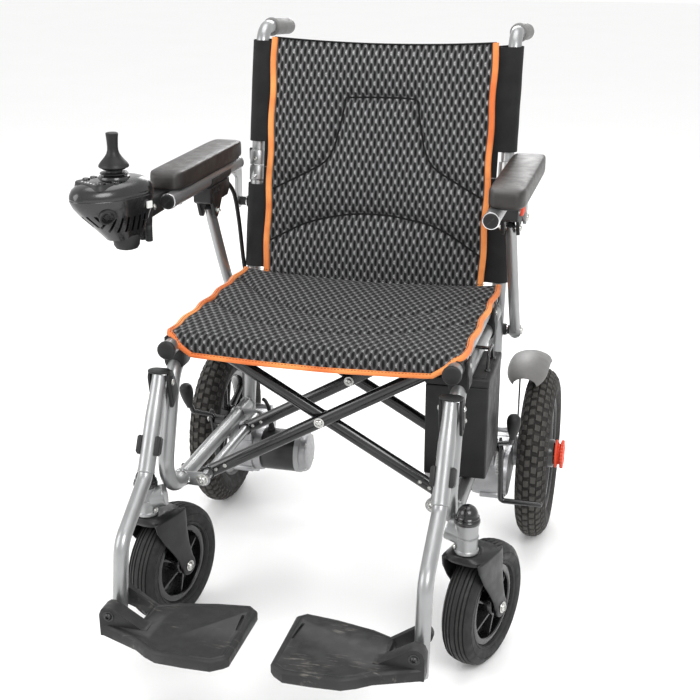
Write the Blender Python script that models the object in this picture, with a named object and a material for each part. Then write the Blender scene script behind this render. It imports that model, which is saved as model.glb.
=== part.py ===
"""Folding power wheelchair: two side frames on a cross brace, sling seat and back, hub-geared rear wheels.

Local frame: x = 0 is the plane of symmetry, y = 0 the rear axle, z = 0 the floor. The chair faces -Y.
"left" is the user's left (+X), "right" the user's right (-X), which carries the joystick controller.
"""
import math

import bmesh
import bpy
from mathutils import Matrix, Vector

# ---- driving dimensions, in metres -------------------------------------------------------------
AXLE_Y = 0.308            # rear axle behind the middle of the chair
GAP = 0.0003              # clearance between pieces that touch
SIDE_X = 0.226            # centre line of each side frame tube
TUBE_R = 0.0125
POST_X = 0.228            # back posts
POST_FOOT_Z = 0.2165
POST_LEAN = 0.2           # rearward run of a post for each metre of rise
POST_ZERO = (-0.010, 0.673)
FOLD_Z = 0.676            # height of the back's folding joint
FOLD_PIN = (0.0165, 0.003)   # the joint's pin lies this far behind and above the post there
BACK_TOP = (0.040, 0.918)
GRIP_Y = (0.088, 0.195)
RAIL_Z = 0.450            # upper rail
LOW_RAIL_Z = 0.245
ELBOW = (-0.455, RAIL_Z)
LOW_BEND = (-0.525, LOW_RAIL_Z)
PIVOT_X = 0.190           # lower pivots of the cross braces
SEAT_RAIL = (0.222, 0.481)
SEAT_RAIL_Y = (-0.487, -0.100)
SLEEVE_Y = (-0.440, -0.165)
BRACE_Y = (-0.4095, -0.2195)
BRACE_STEP = 0.018        # the second brace's bars lie this far behind the first one's
BRACE_SECTION = (0.017, 0.022)
SEAT_Y = (-0.463, -0.085)
SEAT_HALF = 0.234
SEAT_Z = (0.4938, 0.503)
SEAT_LIP = (0.205, (-0.477, -0.455), 0.472)   # half width, front and rear, bottom of the turned-down edge
BACK_HALF = 0.2135
BACK_Z = (0.485, 0.903)
BACK_THICK = 0.008
BACK_AHEAD = 0.0195       # the back's cloth hangs this far in front of the posts' centre lines
BACK_SPLIT = 0.0005       # half the slit between the back's two panels
DRIVE_R = 0.1575
DRIVE_X = 0.309
DRIVE_HALF = 0.0285
RIM_R = 0.1045
MOTOR_AXIS = (-0.080, 0.145)
MOTOR_R = 0.040
MOTOR_X = (0.113, 0.2162)
GEARBOX_X = (0.2165, 0.2745)
FENDER_X = (0.250, 0.316)
FENDER_R = (0.183, 0.187)
FENDER_TURN = (55, 114)   # degrees, from straight back over the top of the wheel
FENDER_STAY = ((0.268, -0.022, 0.195), (0.273, 0.010, 0.342))
CASTER_STEM = (0.2565, -0.520)
CASTER_R = 0.0995
CASTER_HALF = 0.025
CASTER_TRAIL = 0.060
CASTER_YAW = {"left": 0.325, "right": 0.252}
HANGER = [(-0.513, 0.448), (-0.587, 0.310), (-0.684, 0.248), (-0.708, 0.111)]
FOOT_HINGE = (0.224, 0.163)
FOOT_Z = (0.1300, 0.1485)
FOOT_CHEEKS = ((-0.746, -0.722), (-0.683, -0.673))
ARM_X = 0.261             # supporting strut and its fork
ARM_PIVOT = (-0.015, 0.609)
ARM_RAIL = (0.255, 0.6865)
ARM_RAIL_Y = (-0.378, -0.045)
PAD_X = (0.243, 0.301)
PAD_Y = (-0.354, -0.040)
PAD_Z = (0.7000, 0.7280)
STRUT_FOOT = (-0.056, 0.413)
STRUT_TOP = (-0.178, 0.630)
STRUT_R = 0.0095
FORK_Y = (-0.215, -0.115)
BUTTON_AT = (-0.175, 0.6585)
BRAKE_PIVOT = (-0.195, 0.245)
BRAKE_X = 0.262
CONTROLLER_AT = (-0.2885, -0.495)
CONTROLLER_SIZE = (0.135, 0.140)
CONTROLLER_TOP = 0.748
STICK_PIVOT_Z = 0.745
POWER_BUTTON_AT = (-0.2885, -0.5450)
BATTERY = ((0.160, -0.375, 0.265), (0.262, -0.235, 0.434))
SIDES = {"left": 1, "right": -1}
ROUND = 12                # sides of a tube


# ---- materials ---------------------------------------------------------------------------------
def material(name, colour, roughness, metallic):
    made = bpy.data.materials.new(name)
    made.use_nodes = True
    shader = made.node_tree.nodes["Principled BSDF"]
    shader.inputs["Base Color"].default_value = (*colour, 1)
    shader.inputs["Roughness"].default_value = roughness
    shader.inputs["Metallic"].default_value = metallic
    return made


def all_materials():
    looks = {
        "silver": ((0.62, 0.63, 0.64), 0.38, 0.8),
        "black_metal": ((0.03, 0.03, 0.032), 0.3, 0.6),
        "black_plastic": ((0.035, 0.035, 0.037), 0.45, 0),
        "gloss_black": ((0.02, 0.02, 0.022), 0.18, 0),
        "grey_plastic": ((0.33, 0.33, 0.34), 0.5, 0),
        "rubber": ((0.04, 0.04, 0.042), 0.75, 0),
        "mesh_fabric": ((0.12, 0.12, 0.125), 0.9, 0),
        "pad_skin": ((0.07, 0.065, 0.062), 0.6, 0),
        "orange_plastic": ((0.85, 0.12, 0.03), 0.4, 0),
    }
    return {name: material(name, *look) for name, look in looks.items()}


# ---- shapes, each returned as a bmesh in the local frame ---------------------------------------
def rounded(points, radius, steps=4):
    """The polyline with each inner corner replaced by an arc."""
    path = [Vector(points[0])]
    for before, corner, after in zip(points, points[1:], points[2:]):
        corner = Vector(corner)
        back = (Vector(before) - corner).normalized()
        ahead = (Vector(after) - corner).normalized()
        half = back.angle(ahead) / 2
        reach = radius / math.tan(half)
        centre = corner + (back + ahead).normalized() * radius / math.sin(half)
        start = corner + back * reach - centre
        end = corner + ahead * reach - centre
        sweep = start.angle(end)
        for i in range(steps + 1):
            t = i / steps
            ray = (start * math.sin((1 - t) * sweep) + end * math.sin(t * sweep)) / math.sin(sweep)
            path.append(centre + ray)
    path.append(Vector(points[-1]))
    return path


def skin(rings):
    """A closed body over rings of points; both ends are capped."""
    bm = bmesh.new()
    loops = [[bm.verts.new(p) for p in ring] for ring in rings]
    count = len(loops[0])
    for low, high in zip(loops, loops[1:]):
        for i in range(count):
            j = (i + 1) % count
            bm.faces.new((low[i], low[j], high[j], high[i]))
    bm.faces.new(reversed(loops[0]))
    bm.faces.new(loops[-1])
    bmesh.ops.recalc_face_normals(bm, faces=bm.faces)
    return bm


def bar(path, radius, sides=ROUND):
    """A round bar along a path."""
    path = [Vector(p) for p in path]
    rings = []
    side = None
    for i, point in enumerate(path):
        before = path[max(i - 1, 0)]
        after = path[min(i + 1, len(path) - 1)]
        ahead = (after - before).normalized()
        if side is None:
            side = ahead.orthogonal()
        side = (side - ahead * side.dot(ahead)).normalized()
        up = ahead.cross(side)
        turns = [2 * math.pi * k / sides for k in range(sides)]
        rings.append([point + radius * (side * math.cos(a) + up * math.sin(a)) for a in turns])
    return skin(rings)


def turned(profile, at, axis="X", sides=28):
    """A body of revolution: (radius, height) pairs about an axis through a point."""
    frames = {"X": ((0, 1, 0), (0, 0, 1), (1, 0, 0)), "Z": ((1, 0, 0), (0, 1, 0), (0, 0, 1))}
    side, up, along = (Vector(v) for v in frames[axis])
    centre = Vector(at)
    rings = []
    for radius, height in profile:
        turns = [2 * math.pi * k / sides for k in range(sides)]
        rings.append(
            [centre + along * height + radius * (side * math.cos(a) + up * math.sin(a)) for a in turns]
        )
    return skin(rings)


def ring_body(profile, at, sides=32):
    """A turned ring about X whose profile closes on itself, such as a tyre."""
    bm = bmesh.new()
    centre = Vector(at)
    rings = []
    for k in range(sides):
        a = 2 * math.pi * k / sides
        ray = Vector((0, math.cos(a), math.sin(a)))
        rings.append([bm.verts.new(centre + ray * r + Vector((h, 0, 0))) for r, h in profile])
    count = len(profile)
    for k in range(sides):
        here, there = rings[k], rings[(k + 1) % sides]
        for i in range(count):
            j = (i + 1) % count
            bm.faces.new((here[i], here[j], there[j], there[i]))
    bmesh.ops.recalc_face_normals(bm, faces=bm.faces)
    return bm


def prism(outline, low, high, axis):
    """An outline in the plane across an axis, drawn out from low to high along it."""
    place = {
        "X": lambda u, v, w: (w, u, v),
        "Y": lambda u, v, w: (u, w, v),
        "Z": lambda u, v, w: (u, v, w),
    }[axis]
    return skin([[place(u, v, w) for u, v in outline] for w in (low, high)])


def hull(circles, steps=16):
    """Outline of the convex hull of (u, v, radius) circles."""
    points = []
    for u, v, radius in circles:
        for k in range(steps):
            a = 2 * math.pi * k / steps
            points.append((u + radius * math.cos(a), v + radius * math.sin(a)))
    points.sort()
    chains = []
    for ordered in (points, points[::-1]):
        chain = []
        for p in ordered:
            while len(chain) > 1 and cross(chain[-2], chain[-1], p) <= 1e-12:
                chain.pop()
            chain.append(p)
        chains.append(chain[:-1])
    return chains[0] + chains[1]


def cross(a, b, c):
    return (b[0] - a[0]) * (c[1] - a[1]) - (b[1] - a[1]) * (c[0] - a[0])


def block(low, high):
    """An upright box between two corners."""
    outline = [(low[0], low[1]), (high[0], low[1]), (high[0], high[1]), (low[0], high[1])]
    return prism(outline, low[2], high[2], "Z")


def mirrored(bm, sign):
    """The left-hand shape as it is, or its mirror image for the right."""
    if sign < 0:
        bmesh.ops.scale(bm, vec=(-1, 1, 1), verts=bm.verts)
        bmesh.ops.reverse_faces(bm, faces=bm.faces)
    return bm


# ---- objects -----------------------------------------------------------------------------------
CHAIR = None
LOOKS = {}


def piece(name, bm, look, origin=(0, 0, 0), bevel=0.0, segments=2, turn=0.0):
    """A named object from a shape, its origin on its joint's axis."""
    origin = Vector(origin)
    bmesh.ops.translate(bm, vec=-origin, verts=bm.verts)
    mesh = bpy.data.meshes.new(name)
    bm.to_mesh(mesh)
    bm.free()
    made = bpy.data.objects.new(name, mesh)
    bpy.context.scene.collection.objects.link(made)
    made.parent = CHAIR
    made.location = origin
    made.rotation_euler.z = turn
    mesh.materials.append(LOOKS[look])
    if bevel:
        edges = made.modifiers.new("edges", "BEVEL")
        edges.width = bevel
        edges.segments = segments
        edges.limit_method = "ANGLE"
        edges.angle_limit = math.radians(40)
    mesh.shade_smooth()
    mesh.set_sharp_from_angle(angle=math.radians(35))
    return made


def tool(target, bm, operation):
    """Adds a shape to an object, or cuts it away."""
    mesh = bpy.data.meshes.new(target.name + "_tool")
    bm.to_mesh(mesh)
    bm.free()
    made = bpy.data.objects.new(mesh.name, mesh)
    bpy.context.scene.collection.objects.link(made)
    made.parent = target.parent
    made.rotation_euler.z = target.rotation_euler.z
    if made.rotation_euler.z:
        spin = Matrix.Rotation(made.rotation_euler.z, 4, "Z")
        made.location = target.location - spin @ target.location
    made.hide_render = True
    made.display_type = "WIRE"
    change = target.modifiers.new(operation.lower(), "BOOLEAN")
    change.operation = operation
    change.solver = "EXACT"
    change.object = made


def join(target, *shapes):
    for bm in shapes:
        tool(target, bm, "UNION")


def cut(target, *shapes):
    for bm in shapes:
        tool(target, bm, "DIFFERENCE")


def post_y(z):
    """Where a back post's centre line stands at a height."""
    return POST_ZERO[0] + POST_LEAN * (z - POST_ZERO[1])


def back_hinge():
    """A point on the axis about which the upper back folds."""
    return (0, post_y(FOLD_Z) + FOLD_PIN[0], FOLD_Z + FOLD_PIN[1])


# ---- side frames -------------------------------------------------------------------------------
def side_tube(name, s):
    """One bent tube: upper rail, front elbow, front upright and lower rail, with the brace lugs."""
    rear = [post_y(z) - TUBE_R * 1.02 - TUBE_R * POST_LEAN - 2 * GAP for z in (RAIL_Z, LOW_RAIL_Z)]
    route = [(rear[0], RAIL_Z), ELBOW, LOW_BEND, (rear[1], LOW_RAIL_Z)]
    path = rounded([(SIDE_X, y, z) for y, z in route], 0.05)
    made = piece(name, mirrored(bar(path, TUBE_R), s), "silver")
    lug = hull([(SIDE_X, LOW_RAIL_Z, 0.012), (PIVOT_X, LOW_RAIL_Z, 0.012)])
    for y in (SLEEVE_Y[0] - 0.0045, SLEEVE_Y[1] + 0.0005):
        join(made, mirrored(prism(lug, y, y + 0.004, "Y"), s))


def rear_post(name, s):
    """Lower back post with the lower half of the folding joint and two standoffs for the armrest."""
    foot = (POST_X, post_y(POST_FOOT_Z), POST_FOOT_Z)
    top = (POST_X, post_y(FOLD_Z), FOLD_Z)
    collar = (POST_X, post_y(FOLD_Z - 0.028), FOLD_Z - 0.028)
    made = piece(name, mirrored(bar([foot, top], TUBE_R), s), "silver")
    join(made, mirrored(bar([collar, top], TUBE_R + 0.0015), s))
    for (y, z), reach in ((ARM_PIVOT, 0.2615), (STRUT_FOOT, ARM_X - STRUT_R - GAP)):
        join(made, mirrored(bar([(POST_X, y, z), (reach, y, z)], 0.008), s))


def upper_post(name, s, hinge):
    """Folding upper post: the joint's upper half, the post and the push handle's elbow."""
    gap_z = FOLD_Z + GAP * 2
    low = (POST_X, post_y(gap_z), gap_z)
    collar = (POST_X, post_y(FOLD_Z + 0.028), FOLD_Z + 0.028)
    path = rounded([low, (POST_X, *BACK_TOP), (POST_X, GRIP_Y[0] - GAP, BACK_TOP[1] - 0.004)], 0.03)
    made = piece(name, mirrored(bar(path, TUBE_R - 0.001), s), "silver", hinge)
    join(made, mirrored(bar([low, collar], TUBE_R + 0.0015), s))


def push_grip(name, s, hinge):
    drop = 0.004
    ends = [(POST_X, y, BACK_TOP[1] - drop * (1 + i * 2)) for i, y in enumerate(GRIP_Y)]
    piece(name, mirrored(bar(ends, 0.0145), s), "grey_plastic", hinge, bevel=0.003)


def caster_housing(name, s):
    x, y = CASTER_STEM
    profile = [(0.017, 0.214), (0.017, 0.262)]
    piece(name, mirrored(turned(profile, (x, y, 0), "Z", 20), s), "silver")


def caster_cap(name, s):
    x, y = CASTER_STEM
    rim = [(0.0175, 0.2623), (0.0175, 0.268)]
    dome = [(0.0155 * math.cos(a), 0.270 + 0.0205 * math.sin(a)) for a in (0, 0.4, 0.8, 1.15, 1.45)]
    piece(name, mirrored(turned(rim + dome, (x, y, 0), "Z", 20), s), "gloss_black")


# ---- casters -----------------------------------------------------------------------------------
def caster_fork(name, s, turn):
    """One-piece fork: a crown over the wheel and two tapering legs."""
    x, y = CASTER_STEM
    x *= s
    axle = (CASTER_TRAIL, CASTER_R)
    leg = [(y + 0.014, 0.190, 0.020), (y + axle[0] + 0.004, 0.195, 0.012), (y + axle[0], axle[1], 0.016)]
    leg = hull(leg, 20)
    crown = block((x - 0.034, y - 0.024, 0.2035), (x + 0.034, y + axle[0] + 0.024, 0.2136))
    made = piece(name, crown, "black_plastic", (x, y, 0), turn=turn)
    for low, high in ((-0.0345, -0.0270), (0.0270, 0.0345)):
        join(made, prism(leg, x + low, x + high, "X"))


def caster_wheel(name, s, turn):
    """Solid wheel with its moulded rim and hub."""
    x, y = CASTER_STEM
    x *= s
    half = [(0.016, 0.0262), (0.018, 0.012), (0.060, 0.012), (0.064, 0.021), (0.080, 0.025)]
    half += [(0.094, 0.0205), (0.0995, 0.010)]
    profile = [(r, -h) for r, h in half] + [(r, h) for r, h in reversed(half)]
    hub = Vector((x, y + CASTER_TRAIL, CASTER_R))
    swing = Matrix.Rotation(turn, 4, "Z")
    wheel = turned(profile, (0, 0, 0), "X", 26)
    stem = Vector((x, y, 0))
    centre = stem + swing @ (hub - stem)
    made = piece(name, wheel, "rubber", turn=turn)
    made.location = centre


# ---- rear wheels and drive ---------------------------------------------------------------------
def drive_tyre(name, s):
    profile = [(0.105, -0.019), (0.118, -0.0265), (0.138, -0.0285), (0.150, -0.0235), (0.1575, -0.012)]
    profile += [(r, -h) for r, h in reversed(profile)]
    piece(name, ring_body(profile, (s * DRIVE_X, 0, DRIVE_R)), "rubber", (s * DRIVE_X, 0, DRIVE_R))


def drive_rim(name, s):
    inner = [(0.030, -0.028), (0.030, -0.012), (0.088, -0.012), (0.092, -0.018), (RIM_R, -0.0185)]
    outer = [(RIM_R, 0.0185), (0.092, 0.018), (0.088, 0.008), (0.030, 0.008), (0.030, 0.030)]
    shape = mirrored(turned(inner + outer, (DRIVE_X, 0, DRIVE_R)), s)
    piece(name, shape, "black_plastic", (s * DRIVE_X, 0, DRIVE_R))


def hub_knob(name, s):
    profile = [(0.024, 0.0303), (0.026, 0.037), (0.020, 0.038), (0.020, 0.040)]
    profile += [(0.027, 0.041), (0.026, 0.047)]
    shape = mirrored(turned(profile, (DRIVE_X, 0, DRIVE_R), "X", 20), s)
    piece(name, shape, "orange_plastic", (s * DRIVE_X, 0, DRIVE_R))


def gearbox(name, s):
    """Housing from the motor's axis to the wheel's, with the seat for the back post."""
    outline = hull([(*MOTOR_AXIS, 0.048), (0, DRIVE_R, 0.036)], 20)
    made = piece(name, mirrored(prism(outline, *GEARBOX_X, "X"), s), "silver")
    foot_y = post_y(POST_FOOT_Z)
    join(made, mirrored(block((GEARBOX_X[0], foot_y - 0.020, 0.150), (0.242, foot_y + 0.024, 0.2125)), s))


def motor(name, s):
    near, far = MOTOR_X
    profile = [(0.033, near), (0.037, near + 0.004), (0.037, near + 0.021)]
    profile += [(MOTOR_R, near + 0.022), (MOTOR_R, far)]
    piece(name, mirrored(turned(profile, (0, *MOTOR_AXIS), "X", 24), s), "black_metal")


def fender(name, s):
    """Curved guard over the rear wheel, on a strap that stands on the gearbox."""
    start, end = FENDER_TURN
    turns = [math.radians(start + (end - start) * k / 8) for k in range(9)]
    low, high = FENDER_R
    outer = [(high * math.cos(a), DRIVE_R + high * math.sin(a)) for a in turns]
    inner = [(low * math.cos(a), DRIVE_R + low * math.sin(a)) for a in reversed(turns)]
    made = piece(name, mirrored(prism(outer + inner, *FENDER_X, "X"), s), "grey_plastic")
    join(made, mirrored(block(*FENDER_STAY), s))


def brake_lever(name, s):
    """Parking brake: knob, cranked rod, pivot boss and the bar that bears on the tyre."""
    x = BRAKE_X
    route = [(0.288, -0.252, 0.318), (0.284, -0.240, 0.283), (x, -0.212, 0.266), (x, *BRAKE_PIVOT)]
    route += [(x, -0.178, 0.136), (0.335, -0.178, 0.136)]
    hinge = (s * x, *BRAKE_PIVOT)
    made = piece(name, mirrored(bar(rounded(route, 0.007, 2), 0.0045, 8), s), "black_metal", hinge)
    boss = bar([(SIDE_X + TUBE_R + GAP, *BRAKE_PIVOT), (x + 0.005, *BRAKE_PIVOT)], 0.008)
    grip = [(0.0065, -0.018), (0.011, -0.004), (0.0135, 0.012), (0.0125, 0.022), (0.006, 0.029)]
    join(made, mirrored(boss, s), mirrored(turned(grip, (0.288, -0.252, 0.318), "Z", 14), s))


# ---- armrests ----------------------------------------------------------------------------------
def arm_pad(name, s, hinge):
    low = (PAD_X[0], PAD_Y[0], PAD_Z[0])
    high = (PAD_X[1], PAD_Y[1], PAD_Z[1])
    piece(name, mirrored(block(low, high), s), "pad_skin", hinge, bevel=0.008, segments=2)


def arm_rail(name, s, hinge):
    """Tube under the pad and the curved bracket that drops to the rear pivot."""
    x, z = ARM_RAIL
    tube = bar([(x, ARM_RAIL_Y[0], z), (x, ARM_RAIL_Y[1], z)], TUBE_R)
    made = piece(name, mirrored(tube, s), "silver", hinge)
    knee = (-0.014, 0.662, 0.012)
    for ends in ([(-0.050, 0.6855, 0.012), knee], [knee, (*ARM_PIVOT, 0.012)]):
        join(made, mirrored(prism(hull(ends), 0.2620, 0.2680, "X"), s))


def arm_bracket(name, s, hinge):
    """Latch block under the rail: two cheeks that straddle the strut, the pin and the button's pocket."""
    low = (0.2465, FORK_Y[0], 0.645)
    high = (0.2755, FORK_Y[1], ARM_RAIL[1] - TUBE_R - GAP)
    made = piece(name, mirrored(block(low, high), s), "black_plastic", hinge)
    cheek = hull([(-0.196, 0.655, 0.009), (-0.160, 0.655, 0.009), (-0.184, 0.628, 0.010)])
    for x in (low[0], high[0] - 0.0045):
        join(made, mirrored(prism(cheek, x, x + 0.0045, "X"), s))
    y, z = BUTTON_AT
    cut(made, mirrored(block((0.2680, y - 0.0125, z - 0.0085), (0.2800, y + 0.0125, z + 0.0085)), s))


def latch_button(name, s):
    y, z = BUTTON_AT
    shape = block((0.2715, y - 0.0120, z - 0.0080), (0.2810, y + 0.0120, z + 0.0080))
    piece(name, mirrored(shape, s), "orange_plastic", (s * 0.2715, y, z), bevel=0.0015, segments=1)


def arm_strut(name, s):
    ends = [(ARM_X, *STRUT_FOOT), (ARM_X, *STRUT_TOP)]
    made = piece(name, mirrored(bar(ends, STRUT_R), s), "silver", (s * ARM_X, *STRUT_FOOT))
    eye = bar([(ARM_X - STRUT_R, *STRUT_FOOT), (ARM_X + STRUT_R, *STRUT_FOOT)], 0.011)
    join(made, mirrored(eye, s))


# ---- leg rests ---------------------------------------------------------------------------------
def hanger(name, s, hinge):
    path = rounded([(SIDE_X, y, z) for y, z in HANGER], 0.035, 3)
    piece(name, mirrored(bar(path, TUBE_R - 0.001), s), "silver", hinge)


def hanger_bracket(name, s, hinge):
    """Two latch cheeks beside the hanger and the front upright, joined over the hanger's top."""
    outline = hull([(-0.519, 0.446, 0.012), (-0.484, 0.385, 0.010), (-0.536, 0.385, 0.010)])
    inner = (SIDE_X - 0.0172, SIDE_X - 0.0132)
    made = piece(name, mirrored(prism(outline, *inner, "X"), s), "black_plastic", hinge)
    outer = (SIDE_X + 0.0132, SIDE_X + 0.0172)
    cover = block((inner[0], -0.529, 0.4548), (outer[1], -0.502, 0.4588))
    cover_inner = block((inner[0], -0.526, 0.440), (inner[1], -0.504, 0.4560))
    cover_outer = block((outer[0], -0.526, 0.440), (outer[1], -0.504, 0.4560))
    join(made, mirrored(cover_inner, s), mirrored(cover, s), mirrored(cover_outer, s))
    join(made, mirrored(prism(outline, *outer, "X"), s))


def footplate(name, s, hinge):
    """Plate with two gusseted cheeks that straddle the hanger's tube."""
    front = [(0.030, -0.778), (0.052, -0.798), (0.134, -0.796), (0.172, -0.773), (0.238, -0.746)]
    outline = front + [(0.185, -0.742), (0.185, -0.676), (0.150, -0.660), (0.044, -0.641), (0.029, -0.654)]
    made = piece(name, mirrored(prism(outline, *FOOT_Z, "Z"), s), "black_plastic", hinge)
    bottom, top = FOOT_Z
    tall = [(0.165, bottom), (0.238, bottom), (0.238, 0.168), (0.230, 0.177), (0.218, 0.177)]
    tall += [(0.174, top), (0.165, top)]
    slender = hull([(0.172, 0.137, 0.006), (*FOOT_HINGE, 0.014)])
    for cheek, span in zip((tall, slender), FOOT_CHEEKS):
        join(made, mirrored(prism(cheek, *span, "Y"), s))


# ---- cross brace, seat and back ----------------------------------------------------------------
def cross_brace(name, s, y_step, hinge):
    """Two parallel bars on one sleeve. s is the side of the seat rail it carries."""
    foot = Vector((-s * PIVOT_X, 0, LOW_RAIL_Z))
    head = Vector((s * SEAT_RAIL[0], 0, SEAT_RAIL[1]))
    ahead = (head - foot).normalized()
    up = Vector((-ahead.z, 0, ahead.x))
    sleeve = bar([foot + Vector((0, SLEEVE_Y[0], 0)), foot + Vector((0, SLEEVE_Y[1], 0))], 0.0085)
    made = piece(name, sleeve, "black_metal", hinge)
    end = head - ahead * (TUBE_R + 2 * GAP)
    half = BRACE_SECTION[1] / 2
    corners = [foot + up * half, end + up * half, end - up * half, foot - up * half]
    outline = [(c.x, c.z) for c in corners]
    for y in BRACE_Y:
        low = y + y_step - BRACE_SECTION[0] / 2
        join(made, prism(outline, low, low + BRACE_SECTION[0], "Y"))


def seat_rail(name, s, hinge):
    x, z = SEAT_RAIL
    ends = [(s * x, y, z) for y in SEAT_RAIL_Y]
    piece(name, bar(ends, TUBE_R), "silver", hinge)


def seat_sling(hinge):
    """Flat cloth on the seat rails, its front edge turned down between them."""
    low = (-SEAT_HALF, SEAT_Y[0], SEAT_Z[0])
    high = (SEAT_HALF, SEAT_Y[1], SEAT_Z[1])
    made = piece("seat_sling", block(low, high), "mesh_fabric", hinge)
    half, (front, rear), bottom = SEAT_LIP
    join(made, block((-half, front, bottom), (half, rear, SEAT_Z[1] - GAP)))


def back_sling(name, low_z, high_z, hinge=(0, 0, 0)):
    half = BACK_THICK / 2
    outline = []
    for z, side in ((low_z, -1), (high_z, -1), (high_z, 1), (low_z, 1)):
        outline.append((post_y(z) - BACK_AHEAD + side * half, z))
    piece(name, prism(outline, -BACK_HALF, BACK_HALF, "X"), "mesh_fabric", hinge)


# ---- battery and controller --------------------------------------------------------------------
def battery_case():
    """Battery box that hangs between the rails, with its carrying bail."""
    low, high = BATTERY
    made = piece("battery_case", block(low, high), "black_plastic", bevel=0.003, segments=1)
    x = high[0] - 0.010
    root = high[2] - 0.004
    bail = [(x, -0.335, root), (x, -0.326, 0.464), (x, -0.284, 0.464), (x, -0.275, root)]
    join(made, bar(rounded(bail, 0.008, 2), 0.0025, 8))


def oval(scale_x, scale_y, z, count=24):
    """A rounded rectangle of points about the controller's middle."""
    x, y = CONTROLLER_AT
    ring = []
    for k in range(count):
        a = 2 * math.pi * k / count
        c, d = math.cos(a), math.sin(a)
        px = math.copysign(abs(c) ** 0.7, c) * CONTROLLER_SIZE[0] / 2 * scale_x
        py = math.copysign(abs(d) ** 0.7, d) * CONTROLLER_SIZE[1] / 2 * scale_y
        ring.append((x + px, y + py, z))
    return ring


def controller_body(hinge):
    levels = [(0.30, 0.34, 0.640), (0.50, 0.52, 0.648), (0.84, 0.86, 0.700), (0.97, 0.98, 0.722)]
    levels += [(1.0, 1.0, 0.731), (0.96, 0.97, 0.740), (0.80, 0.84, CONTROLLER_TOP)]
    made = piece("controller_body", skin([oval(*level) for level in levels]), "gloss_black", hinge)
    x, y = POWER_BUTTON_AT
    cut(made, turned([(0.0056, CONTROLLER_TOP - 0.004), (0.0056, CONTROLLER_TOP + 0.01)], (x, y, 0), "Z", 16))


def controller_mount(hinge):
    """Block under the pad that holds the controller to the arm rail."""
    low = (-0.3000, CONTROLLER_AT[1] + 0.0720, 0.668)
    high = (-0.2682, -0.270, 0.6985)
    piece("controller_mount", block(low, high), "black_plastic", hinge, bevel=0.002, segments=1)


def joystick():
    x, y = CONTROLLER_AT
    pivot = (x, y, STICK_PIVOT_Z)
    folds = [(0.010, 0.7530), (0.018, 0.7585), (0.013, 0.7610), (0.0175, 0.7632)]
    folds += [(0.012, 0.7665), (0.006, 0.7695)]
    piece("joystick_boot", turned(folds, (x, y, 0), "Z", 16), "rubber", pivot)
    socket = [(r, STICK_PIVOT_Z + math.sqrt(0.0262 ** 2 - r * r)) for r in (0.004, 0.012, 0.018)]
    stick = socket + [(0.0215, 0.7645), (0.021, 0.7675), (0.0175, 0.7735), (0.0095, 0.784), (0.0075, 0.790)]
    stick += [(0.0085, 0.806), (0.0095, 0.813)]
    piece("joystick", turned(stick, (x, y, 0), "Z", 16), "black_plastic", pivot)


def power_button():
    x, y = POWER_BUTTON_AT
    cap = [(0.0052, CONTROLLER_TOP - 0.0020), (0.0052, CONTROLLER_TOP + 0.0012)]
    cap += [(0.0044, CONTROLLER_TOP + 0.0018)]
    piece("power_button", turned(cap, (x, y, 0), "Z", 16), "black_plastic", (x, y, CONTROLLER_TOP))


def smooth_path(points, steps):
    """Points along a smooth curve through a short hand-laid route."""
    route = [Vector(p) for p in points]
    route = [2 * route[0] - route[1]] + route + [2 * route[-1] - route[-2]]
    path = []
    for a, b, c, d in zip(route, route[1:], route[2:], route[3:]):
        for k in range(steps):
            t = k / steps
            path.append(0.5 * (2 * b + (c - a) * t + (2 * a - 5 * b + 4 * c - d) * t * t
                               + (3 * b - a - 3 * c + d) * t ** 3))
    return path + [route[-2]]


def controller_cable():
    """The lead from the armrest down beside the post to the drive unit."""
    route = [(-0.2515, -0.1140, 0.660), (-0.2510, -0.1060, 0.6595), (-0.2480, -0.0860, 0.636)]
    route += [(-0.2462, -0.0720, 0.590), (-0.2460, -0.0560, 0.520), (-0.2460, -0.0360, 0.440)]
    route += [(-0.2450, -0.0420, 0.370), (-0.2400, -0.0560, 0.300), (-0.2380, -0.0600, 0.1985)]
    curve = bpy.data.curves.new("controller_cable", "CURVE")
    curve.dimensions = "3D"
    curve.bevel_depth = 0.0038
    curve.bevel_resolution = 2
    curve.use_fill_caps = True
    path = smooth_path(route, 4)
    line = curve.splines.new("POLY")
    line.points.add(len(path) - 1)
    for spot, place in zip(line.points, path):
        spot.co = (*place, 1)
    made = bpy.data.objects.new("controller_cable", curve)
    bpy.context.scene.collection.objects.link(made)
    made.parent = CHAIR
    curve.materials.append(LOOKS["rubber"])


# ---- the whole chair ---------------------------------------------------------------------------
def build_side(side, s):
    arm = (s * ARM_RAIL[0], *ARM_PIVOT)
    swing = (s * SIDE_X, *ELBOW)
    flip = (s * FOOT_HINGE[0], -0.708, FOOT_HINGE[1])
    turn = -CASTER_YAW[side]
    side_tube(side + "_side_tube", s)
    rear_post(side + "_rear_post", s)
    upper_post(side + "_upper_post", s, back_hinge())
    push_grip(side + "_push_grip", s, back_hinge())
    caster_housing(side + "_caster_housing", s)
    caster_cap(side + "_caster_cap", s)
    caster_fork(side + "_caster_fork", s, turn)
    caster_wheel(side + "_caster_wheel", s, turn)
    drive_tyre(side + "_drive_tyre", s)
    drive_rim(side + "_drive_rim", s)
    hub_knob(side + "_hub_knob", s)
    gearbox(side + "_gearbox", s)
    motor(side + "_motor", s)
    fender(side + "_fender", s)
    brake_lever(side + "_brake_lever", s)
    arm_pad(side + "_arm_pad", s, arm)
    arm_rail(side + "_arm_rail", s, arm)
    arm_bracket(side + "_arm_bracket", s, arm)
    latch_button(side + "_latch_button", s)
    arm_strut(side + "_arm_strut", s)
    hanger(side + "_hanger", s, swing)
    hanger_bracket(side + "_hanger_bracket", s, swing)
    footplate(side + "_footplate", s, flip)


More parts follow.
